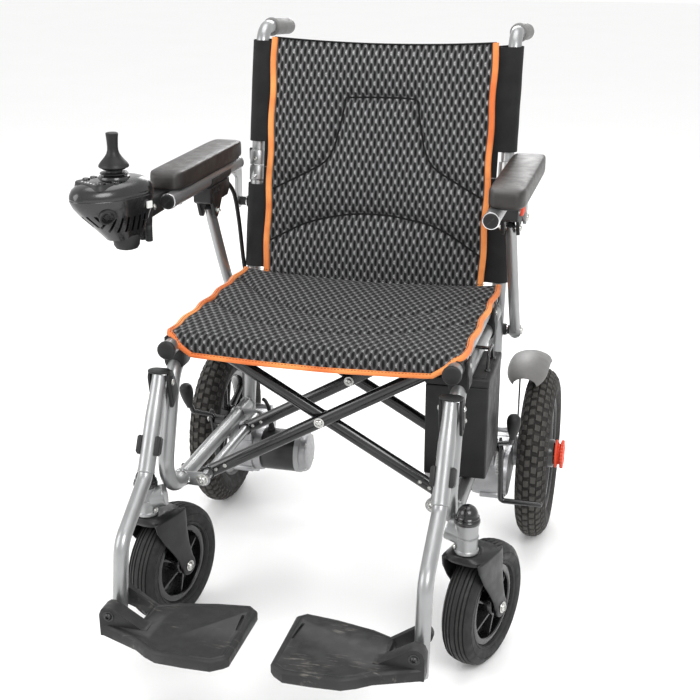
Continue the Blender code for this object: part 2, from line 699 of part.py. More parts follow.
def build_middle():
    right_pivot = (-PIVOT_X, 0, LOW_RAIL_Z)
    rise = (SEAT_RAIL[1] - LOW_RAIL_Z) / (SEAT_RAIL[0] + PIVOT_X)
    centre = (0, 0, LOW_RAIL_Z + PIVOT_X * rise)
    arm = (-ARM_RAIL[0], *ARM_PIVOT)
    cross_brace("right_cross_brace", 1, 0, right_pivot)
    seat_rail("left_seat_rail", 1, right_pivot)
    cross_brace("left_cross_brace", -1, BRACE_STEP, centre)
    seat_rail("right_seat_rail", -1, centre)
    seat_sling(right_pivot)
    back_sling("back_sling_lower", BACK_Z[0], FOLD_Z - BACK_SPLIT)
    back_sling("back_sling_upper", FOLD_Z + BACK_SPLIT, BACK_Z[1], back_hinge())
    battery_case()
    controller_mount(arm)
    controller_body(arm)
    joystick()
    power_button()
    controller_cable()


def main():
    global CHAIR
    for old in list(bpy.data.objects):
        bpy.data.objects.remove(old)
    LOOKS.update(all_materials())
    CHAIR = bpy.data.objects.new("wheelchair", None)
    CHAIR.location = (0, AXLE_Y, 0)
    bpy.context.scene.collection.objects.link(CHAIR)
    for side, s in SIDES.items():
        build_side(side, s)
    build_middle()


main()
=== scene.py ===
"""Looks of the folding power wheelchair: every visible piece, its material, the studio and the camera.

All shapes are laid out in the chair's own frame, with y = 0 at the rear axle and z = 0 on the floor,
and shifted by AXLE when they are placed. "left" is the user's left (+X).
"""
import math

import bmesh
import bpy
import numpy as np
from mathutils import Matrix, Vector, noise


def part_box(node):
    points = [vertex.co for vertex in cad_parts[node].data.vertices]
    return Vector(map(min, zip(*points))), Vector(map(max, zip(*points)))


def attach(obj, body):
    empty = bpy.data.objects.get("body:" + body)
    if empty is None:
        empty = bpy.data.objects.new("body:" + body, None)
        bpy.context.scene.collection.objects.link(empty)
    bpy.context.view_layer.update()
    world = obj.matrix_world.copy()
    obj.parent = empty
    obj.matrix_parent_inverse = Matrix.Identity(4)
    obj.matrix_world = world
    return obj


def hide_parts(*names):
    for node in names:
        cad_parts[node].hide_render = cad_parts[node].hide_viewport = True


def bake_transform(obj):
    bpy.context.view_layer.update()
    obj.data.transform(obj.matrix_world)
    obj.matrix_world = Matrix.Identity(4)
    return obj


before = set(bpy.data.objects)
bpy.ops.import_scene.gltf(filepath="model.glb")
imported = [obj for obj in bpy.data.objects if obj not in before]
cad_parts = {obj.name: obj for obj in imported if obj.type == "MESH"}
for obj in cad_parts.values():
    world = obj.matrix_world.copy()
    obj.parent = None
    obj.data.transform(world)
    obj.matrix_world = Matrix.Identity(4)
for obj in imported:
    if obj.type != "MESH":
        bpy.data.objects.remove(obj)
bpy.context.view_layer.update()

# ---- driving dimensions, metres, as in the CAD ---------------------------------------------------
TYRE_LOW, TYRE_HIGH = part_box("left_drive_tyre")
AXLE = Vector((0, (TYRE_LOW.y + TYRE_HIGH.y) / 2, 0))
DRIVE_R = (TYRE_HIGH.z - TYRE_LOW.z) / 2
DRIVE_X = (TYRE_LOW.x + TYRE_HIGH.x) / 2
SIDES = {"left": 1, "right": -1}
SIDE_X = 0.226
TUBE_R = 0.0125
POST_X = 0.228
POST_LEAN = 0.2
POST_ZERO = (-0.01, 0.673)
POST_FOOT_Z = 0.2165
FOLD_Z = 0.676
BACK_TOP = (0.04, 0.918)
GRIP_Y = (0.088, 0.195)
RAIL_Z = 0.45
LOW_RAIL_Z = 0.245
ELBOW = (-0.455, RAIL_Z)
LOW_BEND = (-0.525, LOW_RAIL_Z)
PIVOT_X = 0.19
SEAT_RAIL = (0.222, 0.481)
SEAT_RAIL_Y = (-0.487, -0.1)
SLEEVE_Y = (-0.44, -0.165)
BRACE_Y = (-0.4095, -0.2195)
BRACE_STEP = 0.018
MOTOR_AXIS = (-0.08, 0.145)
CASTER_STEM = (0.2565, -0.52)
CASTER_R = 0.0995
CASTER_TRAIL = 0.06
CASTER_YAW = {"left": 0.325, "right": 0.252}
HANGER = [(-0.513, 0.448), (-0.587, 0.31), (-0.684, 0.248), (-0.708, 0.111)]
FOOT_HINGE = (0.224, 0.163)
FOOT_Z = (0.13, 0.1485)
ARM_X = 0.261
ARM_PIVOT = (-0.015, 0.609)
ARM_RAIL = (0.255, 0.6865)
ARM_RAIL_Y = (-0.378, -0.045)
PAD_X = (0.243, 0.301)
PAD_Y = (-0.354, -0.04)
PAD_Z = (0.7, 0.728)
STRUT_FOOT = (-0.056, 0.413)
STRUT_TOP = (-0.178, 0.63)
STRUT_R = 0.0095
STRUT_BOW = 0.0035
BUTTON_AT = (-0.175, 0.6585)
BRAKE_PIVOT = (-0.195, 0.245)
BRAKE_X = 0.262
CONTROLLER_AT = (-0.2885, -0.495)
CONTROLLER_TURN = math.radians(-28.5)
CONTROLLER_HALF = (0.0445, 0.0675)
BATTERY = ((0.16, -0.375, 0.265), (0.262, -0.235, 0.434))
SEAT_HALF = 0.234
BACK_HALF = 0.1985
BACK_Z = (0.478, 0.903)
BACK_AHEAD = 0.0195
FENDER_X = (0.25, 0.316)
FENDER_TURN = (55, 114)  # degrees round the wheel, from the rear
FENDER_R, FENDER_SKIN = 0.178, 0.0022
FOOT_CHEEKS = ((-0.746, -0.722), (-0.683, -0.673))
X, Y, Z = (1, 0, 0), (0, 1, 0), (0, 0, 1)
EDGE_ANGLE = 35  # degrees beyond which an edge counts as sharp
FLOOR_HALF = 14

# ---- camera and light, solved from the photograph ------------------------------------------------
LENS, SENSOR = 65.35, 36
CAMERA_AT = (0.5071, -1.8958, 1.1319)
CAMERA_DOWN, CAMERA_TURN = 19.46, 14.34  # degrees
LIT_POINT = Vector((0, 0, 0.45))
LIGHTS = (  # name, place, size, power
    ("key", (1.6, -2.2, 2.6), 1.8, 62),
    ("fill", (-2.4, -1.6, 1.7), 2.0, 34),
    ("top", (0, 0.4, 3.2), 2.4, 40),
    ("rear", (-0.4, 3.2, 1.9), 1.6, 34),
)

# ---- cloth ---------------------------------------------------------------------------------------
SEAT_FRONT, SEAT_BACK = -0.488, -0.07  # of the flat cut; the front is turned down
SEAT_FOLD = -0.452
SEAT_TOP = 0.4985  # at the rails, before the sag
SEAT_SAG = 0.012
SEAT_TURN = 0.016  # radius over which the front edge turns down
SEAT_PLY, BACK_PLY = 0.007, 0.008  # thickness before the filling swells
BACK_BOW = 0.008
BACK_SLIT = 0.0001  # half the gap between the back's two panels
LOWER_SLEEVE, UPPER_SLEEVE = (0.498, 0.645), (0.721, 0.896)  # heights of the cloth round a post
EYE_PITCH = (0.0135, 0.0255)  # of the spacer mesh, across and along
EYE_HALF = (0.205, 0.375)  # of an eyelet, in pitches
CHANNEL_FLOOR = -0.0045  # how far a sewn channel may sink
PRESSURE, CLOTH_FRAMES = 4.0, 20
HELD_EDGE = 0.004  # width of the edge that is held while a panel swells
BINDING = slice(0, 75), slice(120, None)  # the part of the seat's outline that is bound
WELD_STEPS = 56


def post_y(z):
    """Where a back post's centre line stands at a height."""
    return POST_ZERO[0] + POST_LEAN * (z - POST_ZERO[1])


# ---- shader helpers ------------------------------------------------------------------------------
class Shader:
    """A Principled material and short calls for the nodes that feed it."""

    def __init__(self, name, colour, roughness, metallic=0.0, **extra):
        self.material = bpy.data.materials.new(name)
        self.material.use_nodes = True
        self.tree = self.material.node_tree
        self.out = self.tree.nodes["Principled BSDF"]
        self.set("Base Color", (*colour, 1))
        self.set("Roughness", roughness)
        self.set("Metallic", metallic)
        for socket, value in extra.items():
            self.set(socket.replace("_", " ").title().replace("Ior", "IOR"), value)
        place = self.tree.nodes.new("ShaderNodeTexCoord")
        self.place = place.outputs["Object"]

    def set(self, socket, value):
        target = self.out.inputs[socket]
        if isinstance(value, bpy.types.NodeSocket):
            self.tree.links.new(value, target)
        else:
            target.default_value = value

    def feed(self, node, index, value):
        if isinstance(value, bpy.types.NodeSocket):
            self.tree.links.new(value, node.inputs[index])
        elif value is not None:
            node.inputs[index].default_value = value

    def math(self, operation, a, b=None, c=None):
        node = self.tree.nodes.new("ShaderNodeMath")
        node.operation = operation
        for index, value in enumerate((a, b, c)):
            self.feed(node, index, value)
        return node.outputs[0]

    def split(self):
        node = self.tree.nodes.new("ShaderNodeSeparateXYZ")
        self.feed(node, 0, self.place)
        return node.outputs

    def noise(self, scale, detail=2.0, rough=0.5, vector=None):
        node = self.tree.nodes.new("ShaderNodeTexNoise")
        self.feed(node, "Vector", vector or self.place)
        node.inputs["Scale"].default_value = scale
        node.inputs["Detail"].default_value = detail
        node.inputs["Roughness"].default_value = rough
        return node.outputs["Fac"]

    def cells(self, scale):
        node = self.tree.nodes.new("ShaderNodeTexVoronoi")
        self.feed(node, "Vector", self.place)
        node.inputs["Scale"].default_value = scale
        return node.outputs["Distance"]

    def stretch(self, x, y, z):
        node = self.tree.nodes.new("ShaderNodeMapping")
        self.feed(node, "Vector", self.place)
        node.inputs["Scale"].default_value = (x, y, z)
        return node.outputs["Vector"]

    def span(self, value, low, high, to_low=0.0, to_high=1.0):
        node = self.tree.nodes.new("ShaderNodeMapRange")
        node.interpolation_type = "SMOOTHSTEP"
        for index, number in enumerate((value, low, high, to_low, to_high)):
            self.feed(node, index, number)
        return node.outputs["Result"]

    def mix(self, factor, a, b):
        node = self.tree.nodes.new("ShaderNodeMix")
        node.data_type = "RGBA"
        self.feed(node, "Factor", factor)
        for index, colour in ((6, a), (7, b)):
            if isinstance(colour, tuple):
                node.inputs[index].default_value = (*colour, 1)
            else:
                self.feed(node, index, colour)
        return node.outputs[2]

    def ridge_mask(self):
        """1 on the ridges of the shape, 0 elsewhere."""
        node = self.tree.nodes.new("ShaderNodeNewGeometry")
        return self.span(node.outputs["Pointiness"], 0.52, 0.6)

    def bump(self, height, distance, strength=1.0, under=None):
        node = self.tree.nodes.new("ShaderNodeBump")
        node.inputs["Strength"].default_value = strength
        node.inputs["Distance"].default_value = distance
        self.feed(node, "Height", height)
        self.feed(node, "Normal", under)
        self.set("Normal", node.outputs[0])
        return node.outputs[0]


def painted(name, colour, roughness, metallic, flake=0.05, grain=1400, coat=0.25):
    """Powder coat or lacquer: fine flakes, slow colour drift and an orange-peel surface."""
    s = Shader(name, colour, roughness, metallic, coat_weight=coat, coat_roughness=0.18)
    dark = tuple(c * (1 - flake * 2) for c in colour)
    light = tuple(min(1, c * (1 + flake)) for c in colour)
    drift = s.span(s.noise(9, 3), 0.3, 0.7)
    s.set("Base Color", s.mix(drift, dark, light))
    s.set("Roughness", s.span(s.noise(60, 4), 0.25, 0.75, roughness - 0.05, roughness + 0.07))
    peel = s.bump(s.noise(grain, 1), 0.00006, 0.5)
    s.bump(s.noise(180, 2), 0.0002, 0.25, peel)
    return s.material


def moulded(name, colour, roughness, grain=0.00012, scale=1100, edge=0.1, coat=0.0, dust=0.25, shine=0.3):
    """Moulded plastic: a fine spark-eroded grain, paler worn edges and a little dust."""
    s = Shader(name, colour, roughness, coat_weight=coat, coat_roughness=0.08, specular_ior_level=shine)
    worn = tuple(min(1, c + edge) for c in colour)
    haze = s.span(s.noise(22, 4, 0.6), 0.45, 0.8, 0, dust)
    base = s.mix(haze, colour, tuple(min(1, c * 1.6 + 0.006) for c in colour))
    s.set("Base Color", s.mix(s.math("MULTIPLY", s.ridge_mask(), 0.5), base, worn))
    s.set("Roughness", s.span(s.noise(45, 3), 0.3, 0.7, roughness - 0.06, roughness + 0.08))
    s.bump(s.noise(scale, 2), grain, 0.8)
    return s.material


def metal(name, colour, roughness):
    """Bare metal: zinc bolts, castings and bright rings."""
    s = Shader(name, colour, roughness, 1.0)
    s.set("Base Color", s.mix(s.noise(70, 4), tuple(c * 0.8 for c in colour), colour))
    s.set("Roughness", s.span(s.noise(160, 4), 0.3, 0.7, roughness - 0.07, roughness + 0.12))
    s.bump(s.noise(900, 3, 0.6), 0.00008, 0.7)
    return s.material


def rubber(name, colour, roughness, dust=0.35):
    """Tyre rubber: matt, with random dust and a painted highlight on its ridges."""
    s = Shader(name, colour, roughness, specular_ior_level=0.3)
    mottled = s.mix(s.span(s.noise(30, 5, 0.65), 0.35, 0.75), colour,
        tuple(c * 1.6 + 0.004 for c in colour))
    dusty = s.span(s.noise(140, 3), 0.45, 0.75, 0, dust)
    # painted highlight: the ridges of the blocks lightened; the dust argument also sets its strength
    ridge_highlight = s.mix(s.math("MULTIPLY", s.ridge_mask(), dust), mottled, (0.17, 0.16, 0.145))
    s.set("Base Color", s.mix(dusty, ridge_highlight, (0.07, 0.064, 0.058)))
    s.set("Roughness", s.span(s.noise(80, 3), 0.3, 0.7, roughness - 0.08, roughness + 0.1))
    s.bump(s.noise(1200, 3), 0.00012, 0.8)
    return s.material


def leatherette(name):
    """The armrests' skin: brown-black polyurethane with a pebbled grain and worn edges."""
    s = Shader(name, (0.016, 0.014, 0.013), 0.4)
    patch = s.span(s.noise(26, 5, 0.6), 0.3, 0.75)
    skin = s.mix(patch, (0.013, 0.011, 0.01), (0.026, 0.022, 0.019))
    s.set("Base Color", s.mix(s.math("MULTIPLY", s.ridge_mask(), 0.3), skin, (0.06, 0.05, 0.045)))
    s.set("Roughness", s.span(s.noise(60, 3), 0.3, 0.7, 0.33, 0.45))
    fine = s.bump(s.cells(900), 0.00022, 0.9)
    s.bump(s.noise(90, 4), 0.0003, 0.12, fine)
    return s.material


def spacer_mesh(name, along, tone):
    """3-D knitted mesh: staggered long eyelets between wavy light threads, laid out over x and along,
    with a painted highlight on the threads beside the ends of each eyelet.
    """
    s = Shader(name, (0.1, 0.1, 0.105), 0.85, sheen_weight=0.05, sheen_roughness=0.5,
        specular_ior_level=0.2)
    parts = s.split()
    wobble = s.math("MULTIPLY", s.math("SUBTRACT", s.noise(14, 2), 0.5), 0.003)
    u = s.math("DIVIDE", s.math("ADD", parts[0], wobble), EYE_PITCH[0])
    length = parts[along[0]] if len(along) == 1 else s.math("ADD", *(parts[i] for i in along))
    v = s.math("DIVIDE", length, EYE_PITCH[1])
    # painted highlight: bright spots on the threads beside the ends of each eyelet
    holes, highlight_spots = [], []
    for shift in (0.0, 0.5):
        across = s.math("SUBTRACT", s.math("FRACT", s.math("ADD", u, shift + 100)), 0.5)
        down = s.math("SUBTRACT", s.math("FRACT", s.math("ADD", v, shift + 100)), 0.5)
        wide = s.math("POWER", s.math("DIVIDE", across, EYE_HALF[0]), 2)
        tall = s.math("POWER", s.math("DIVIDE", down, EYE_HALF[1]), 2)
        holes.append(s.math("SQRT", s.math("ADD", wide, tall)))
        near_end = s.math("SUBTRACT", s.math("ABSOLUTE", down), 0.5)
        side_on = s.math("POWER", s.math("DIVIDE",
            s.math("ADD", across, s.math("MULTIPLY", near_end, 0.35)), 0.19), 2)
        end_on = s.math("POWER", s.math("DIVIDE", near_end, 0.27), 2)
        highlight_spots.append(s.math("SQRT", s.math("ADD", side_on, end_on)))
    eye = s.math("MINIMUM", *holes)
    painted_highlight = s.span(s.math("MINIMUM", *highlight_spots), 0.35, 1.0, 1, 0)
    # plies of each thread run along its length
    ply = s.math("SINE", s.math("MULTIPLY", s.math("ADD", eye, s.math("MULTIPLY", u, 0.3)), 22))
    core = s.span(eye, 0.28, 0.58)
    crest = s.span(eye, 0.8, 1.12)
    strand = s.span(s.math("ADD", s.math("MULTIPLY", ply, 0.5), s.noise(420, 3)), 0.1, 1.2)

    def grey(level, blue):
        return level * tone, level * tone, blue * tone
    dull = s.mix(strand, grey(0.07, 0.072), grey(0.29, 0.293))
    # the threads as they look under the painted highlight
    highlit_threads = s.mix(strand, grey(0.34, 0.345), grey(0.86, 0.87))
    ground = s.mix(crest, grey(0.03, 0.031), s.mix(painted_highlight, dull, highlit_threads))
    s.set("Base Color", s.mix(core, (0.002, 0.002, 0.002), ground))
    s.set("Roughness", s.span(crest, 0, 1, 0.95, 0.66))
    deep = s.bump(s.math("ADD", s.span(eye, 0.25, 1.1), s.math("MULTIPLY", painted_highlight, 0.5)), 0.0016, 0.9)
    s.bump(strand, 0.0004, 0.8, deep)
    return s.material


def webbing(name, colour, pitch=0.0009, shine=0.1):
    """Plain woven tape or coated fabric: over and under threads."""
    s = Shader(name, colour, 0.8, sheen_weight=shine * 0.4, sheen_roughness=0.5, specular_ior_level=0.25)
    parts = s.split()
    rows = []
    for axis in (0, 2):
        turn = s.math("MULTIPLY", parts[axis], math.pi / pitch)
        rows.append(s.math("SINE", turn))
    weave = s.span(s.math("MULTIPLY", *rows), -0.8, 0.8)
    patch = s.span(s.noise(35, 4), 0.3, 0.7)
    base = s.mix(patch, tuple(c * 0.75 for c in colour), tuple(min(1, c * 1.25) for c in colour))
    s.set("Base Color", s.mix(s.math("MULTIPLY", weave, 0.35), base, tuple(c * 0.45 for c in colour)))
    fold = s.bump(s.noise(28, 3), 0.0012, 0.5)
    s.bump(weave, 0.00025, 0.8, fold)
    return s.material


def piping_tape(name):
    """Orange binding with a ribbed weave, redder in random patches."""
    s = Shader(name, (0.8, 0.24, 0.05), 0.62, sheen_weight=0.1, sheen_roughness=0.4)
    tone = s.span(s.noise(13, 4), 0.3, 0.72)
    base = s.mix(tone, (0.62, 0.135, 0.022), (0.87, 0.33, 0.085))
    rib = s.math("SINE", s.math("MULTIPLY", s.math("ADD", *(s.split()[i] for i in (1, 2))), 2600))
    s.set("Base Color", s.mix(s.span(rib, -0.9, 0.9, 0.25, 0), base, (0.45, 0.09, 0.015)))
    s.bump(rib, 0.0002, 0.8)
    return s.material


def scuffed(name):
    """Footplates: black polypropylene with fine moulded lines, scuffs and shoe dust."""
    s = Shader(name, (0.02, 0.02, 0.021), 0.55, specular_ior_level=0.35)
    streak = s.noise(1, 5, 0.65, s.stretch(45, 260, 60))
    scuff = s.span(s.math("MULTIPLY", s.span(s.noise(16, 4), 0.42, 0.68), s.span(streak, 0.45, 0.72)),
        0.1, 0.9)
    base = s.mix(s.math("MULTIPLY", scuff, 0.75), (0.011, 0.011, 0.0115), (0.13, 0.12, 0.105))
    s.set("Base Color", s.mix(s.math("MULTIPLY", s.ridge_mask(), 0.4), base, (0.07, 0.07, 0.07)))
    s.set("Roughness", s.span(s.noise(40, 4), 0.3, 0.7, 0.42, 0.66))
    fine = s.bump(s.noise(1, 3, 0.6, s.stretch(300, 1500, 300)), 0.0002, 0.7)
    s.bump(s.noise(900, 2), 0.0001, 0.5, fine)
    return s.material


def make_looks():
    return {
        "silver": painted("silver_paint", (0.3, 0.303, 0.306), 0.34, 0.82),
        "grey_tube": painted("shadow_grey_paint", (0.24, 0.245, 0.25), 0.4, 0.7),
        "cast": metal("cast_aluminium", (0.4, 0.4, 0.41), 0.38),
        "zinc": metal("zinc_plate", (0.6, 0.6, 0.58), 0.24),
        "bright": metal("bright_ring", (0.8, 0.8, 0.81), 0.14),
        "gloss_paint": painted("gloss_black_paint", (0.005, 0.005, 0.0055), 0.2, 0.0, 0.1, 1400, 0.3),
        "satin_paint": painted("satin_black_paint", (0.007, 0.007, 0.0075), 0.36, 0.0, 0.1, 1400, 0.1),
        "plastic": moulded("black_moulding", (0.008, 0.008, 0.0085), 0.46, edge=0.03),
        "gloss_plastic": moulded("gloss_black_moulding", (0.004, 0.004, 0.0045), 0.22, 0.00004, 900,
            edge=0.02, coat=0.3, dust=0.08, shine=0.5),
        "fork": moulded("fork_moulding", (0.007, 0.007, 0.0075), 0.38, 0.0001, 900, 0.03, 0.1),
        "grey_plastic": moulded("grey_moulding", (0.13, 0.128, 0.124), 0.42, 0.00012, 900, 0.06),
        "grip": moulded("grip_rubber", (0.15, 0.149, 0.146), 0.42, 0.0002, 1300, 0.04),
        "orange_plastic": moulded("orange_red_moulding", (0.66, 0.055, 0.015), 0.38, 0.00006, 900,
            edge=0.06, coat=0.1, dust=0.1),
        "tyre": rubber("block_tyre", (0.011, 0.01, 0.0095), 0.74, 0.3),
        "solid_tyre": rubber("solid_tyre", (0.007, 0.007, 0.0075), 0.55, 0.1),
        "pad": leatherette("armrest_skin"),
        # the seat's copy of the mesh is darker than the back's: painted shade, as the seat faces up into
        # more light
        "seat_mesh": spacer_mesh("seat_mesh", (1, 2), 0.36),
        "back_mesh": spacer_mesh("back_mesh", (2,), 0.52),
        "black_cloth": webbing("black_cloth", (0.01, 0.01, 0.0105)),
        "piping": piping_tape("orange_piping"),
        "foot": scuffed("footplate_moulding"),
        "seam": webbing("dark_thread", (0.006, 0.006, 0.006), 0.0012, 0.0),
        "panel": moulded("pale_label_blank", (0.62, 0.62, 0.6), 0.4, 0.00002, 500, 0.0, 0.2, 0.05),
    }


# ---- shape helpers -------------------------------------------------------------------------------
def circle(count):
    """Cosine and sine at equal steps round a circle."""
    turns = [2 * math.pi * k / count for k in range(count)]
    return [(math.cos(a), math.sin(a)) for a in turns]


def rounded(points, radius, steps=12):
    """The polyline with each inner corner replaced by an arc."""
    path = [Vector(points[0])]
    for before, corner, after in zip(points, points[1:], points[2:]):
        corner = Vector(corner)
        back = (Vector(before) - corner).normalized()
        ahead = (Vector(after) - corner).normalized()
        half = back.angle(ahead) / 2
        reach = radius / math.tan(half)
        centre = corner + (back + ahead).normalized() * radius / math.sin(half)
        start = corner + back * reach - centre
        end = corner + ahead * reach - centre
        sweep = start.angle(end)
        for i in range(steps + 1):
            t = i / steps
            ray = (start * math.sin((1 - t) * sweep) + end * math.sin(t * sweep)) / math.sin(sweep)
            path.append(centre + ray)
    path.append(Vector(points[-1]))
    return path


def smooth_path(points, steps=8):
    """Points along a smooth curve through a short given route."""
    route = [Vector(p) for p in points]
    route = [2 * route[0] - route[1]] + route + [2 * route[-1] - route[-2]]
    path = []
    for a, b, c, d in zip(route, route[1:], route[2:], route[3:]):
        for k in range(steps):
            t = k / steps
            path.append(0.5 * (2 * b + (c - a) * t + (2 * a - 5 * b + 4 * c - d) * t * t
                + (3 * b - a - 3 * c + d) * t ** 3))
    return path + [route[-2]]


def skin(rings, loop=False):
    """A surface over rings of points: closed at both ends, or joined into a loop."""
    bm = bmesh.new()
    loops = [[bm.verts.new(p) for p in ring] for ring in rings]
    count = len(loops[0])
    pairs = list(zip(loops, loops[1:])) + ([(loops[-1], loops[0])] if loop else [])
    for low, high in pairs:
        for i in range(count):
            j = (i + 1) % count
            bm.faces.new((low[i], low[j], high[j], high[i]))
    if not loop:
        bm.faces.new(reversed(loops[0]))
        bm.faces.new(loops[-1])
    bmesh.ops.recalc_face_normals(bm, faces=bm.faces)
    return bm


def tube(path, radius, sides=24, flat=(1.0, 1.0), up=None, ends=0.0, shape=None):
    """A bar along a path: flat squeezes its section, ends rounds its tips, shape(t) gives flat at t."""
    path = [Vector(p) for p in path]
    lengths = [0.0]
    for a, b in zip(path, path[1:]):
        lengths.append(lengths[-1] + (b - a).length)
    stations = [(p, 1.0, run / lengths[-1]) for p, run in zip(path, lengths)]
    if ends:
        arcs = (0.0, 0.4, 0.8, 1.2)
        first, last = (path[1] - path[0]).normalized(), (path[-1] - path[-2]).normalized()
        lead = [(path[0] + first * ends * (1 - math.cos(a)), 1 - ends / radius * (1 - math.sin(a)), 0)
            for a in arcs]
        tail = [(path[-1] - last * ends * (1 - math.cos(a)), 1 - ends / radius * (1 - math.sin(a)), 1)
            for a in arcs]
        lead.append((path[0] + first * ends, 1.0, 0))
        tail.append((path[-1] - last * ends, 1.0, 1))
        stations = lead + stations[1:-1] + tail[::-1]
    rings = []
    side = Vector(up) if up else None
    for i, (point, size, t) in enumerate(stations):
        ahead = (stations[min(i + 1, len(stations) - 1)][0] - stations[max(i - 1, 0)][0]).normalized()
        side = side or ahead.orthogonal()
        side = (side - ahead * side.dot(ahead)).normalized()
        across = ahead.cross(side)
        wide, deep = shape(t) if shape else flat
        rings.append([point + radius * size * (side * c * wide + across * d * deep)
            for c, d in circle(sides)])
    return skin(rings)


def frame_of(direction):
    """A rotation that carries +Z to a direction."""
    return Vector(Z).rotation_difference(Vector(direction)).to_matrix().to_4x4()


def turned(profile, at=(0, 0, 0), along=Z, sides=48, loop=False):
    """A body of revolution from (radius, height) pairs."""
    place = Matrix.Translation(Vector(at)) @ frame_of(along)
    rings = [[place @ Vector((radius * c, radius * d, height)) for c, d in circle(sides)]
        for radius, height in profile]
    return skin(rings, loop)


def prism(outline, low, high, axis, bevel=0.0, segments=2):
    """An outline drawn out along an axis, its edges softened."""
    place = {
        "X": lambda u, v, w: (w, u, v),
        "Y": lambda u, v, w: (u, w, v),
        "Z": lambda u, v, w: (u, v, w),
    }[axis]
    bm = skin([[place(u, v, w) for u, v in outline] for w in (low, high)])
    return soften(bm, bevel, segments) if bevel else bm


def soften(bm, width, segments=2, angle=EDGE_ANGLE):
    """Bevels the sharp edges."""
    sharp = [e for e in bm.edges if len(e.link_faces) == 2 and e.calc_face_angle() > math.radians(angle)]
    bmesh.ops.bevel(bm, geom=sharp, offset=width, segments=segments, profile=0.5, affect="EDGES",
        clamp_overlap=True)
    return bm


def block(low, high, bevel=0.002, segments=3):
    outline = [(low[0], low[1]), (high[0], low[1]), (high[0], high[1]), (low[0], high[1])]
    return prism(outline, low[2], high[2], "Z", bevel, segments)


def hull(circles, steps=32):
    """Outline of the convex hull of (u, v, radius) circles."""
    points = sorted((u + radius * c, v + radius * d) for u, v, radius in circles
        for c, d in circle(steps))
    chains = []
    for ordered in (points, points[::-1]):
        chain = []
        for p in ordered:
            while len(chain) > 1 and cross(chain[-2], chain[-1], p) <= 1e-12:
                chain.pop()
            chain.append(p)
        chains.append(chain[:-1])
    return chains[0] + chains[1]


def cross(a, b, c):
    return (b[0] - a[0]) * (c[1] - a[1]) - (b[1] - a[1]) * (c[0] - a[0])


def as_mesh(name, bm):
    mesh = bpy.data.meshes.new(name)
    bm.to_mesh(mesh)
    bm.free()
    return mesh


def linked(name, data):
    """A new object in the scene."""
    made = bpy.data.objects.new(name, data)
    bpy.context.scene.collection.objects.link(made)
    return made


def merged(*shapes):
    """Several shapes in one mesh, left as separate shells."""
    whole = bmesh.new()
    for bm in shapes:
        mesh = as_mesh("part", bm)
        whole.from_mesh(mesh)
        bpy.data.meshes.remove(mesh)
    return whole


def mirrored(bm, sign):
    if sign < 0:
        bmesh.ops.scale(bm, vec=(-1, 1, 1), verts=bm.verts)
        bmesh.ops.reverse_faces(bm, faces=bm.faces)
    return bm


def moved(bm, matrix):
    bmesh.ops.transform(bm, matrix=matrix, verts=bm.verts)
    return bm


LOOKS = {}


def make(name, bm, look, sharp=EDGE_ANGLE):
    """An object from a shape, shifted into the row's frame."""
    bmesh.ops.translate(bm, vec=AXLE, verts=bm.verts)
    mesh = as_mesh(name, bm)
    mesh.materials.append(LOOKS[look])
    mesh.shade_smooth()
    mesh.set_sharp_from_angle(angle=math.radians(sharp))
    return linked(name, mesh)


def add(name, bm, look, body, nodes=(), sharp=EDGE_ANGLE):
    """A finished piece on its body."""
    made = make(name, bm, look, sharp)
    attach(made, body)
    if nodes:
        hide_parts(*([nodes] if isinstance(nodes, str) else nodes))
    return made


def placed(s, *shapes):
    return mirrored(merged(*shapes), s)


def sided(side, name, shapes, look, body, node=None, sharp=EDGE_ANGLE):
    """A piece of one side on that side's body: drawn for the left, mirrored for the right."""
    nodes = side + "_" + node if node else ()
    return add(side + "_" + name, placed(SIDES[side], *shapes), look, side + "_" + body, nodes,
        sharp)


def bolt(at, along, radius=0.006, height=0.004, socket=True):
    """A dome-headed bolt on its washer, with a hexagon socket."""
    washer = turned([(radius * 1.45, 0), (radius * 1.5, 0.0004), (radius * 1.45, 0.001)], at, along, 28)
    dome = [(radius, 0.001), (radius * 1.02, 0.0018), (radius * 0.92, height * 0.7),
        (radius * 0.62, height)]
    if socket:
        dome += [(radius * 0.5, height), (radius * 0.44, height * 0.45), (radius * 0.1, height * 0.42)]
    return merged(washer, turned(dome, at, along, 30))


def hex_nut(at, along, radius=0.006, height=0.005):
    return merged(
        turned([(radius * 1.4, 0), (radius * 1.4, 0.001)], at, along, 28),
        soften(turned([(radius, 0.001), (radius, height)], at, along, 6), 0.0005, 1),
        turned([(radius * 0.5, height), (radius * 0.48, height + 0.003)], at, along, 16),
    )


def weld(at, along, radius, size=0.0022):
    """A weld bead: a lumpy ring around a tube."""
    place = Matrix.Translation(Vector(at)) @ frame_of(along)
    rings = []
    for k, (c, d) in enumerate(circle(WELD_STEPS)):
        lump = size * (1 + 0.22 * math.sin(2 * math.pi * k / WELD_STEPS * 24))
        ray = Vector((c, d, 0))
        rings.append([place @ (ray * radius + lump * (ray * e + Vector(Z) * f)) for e, f in circle(8)])
    return skin(rings, loop=True)


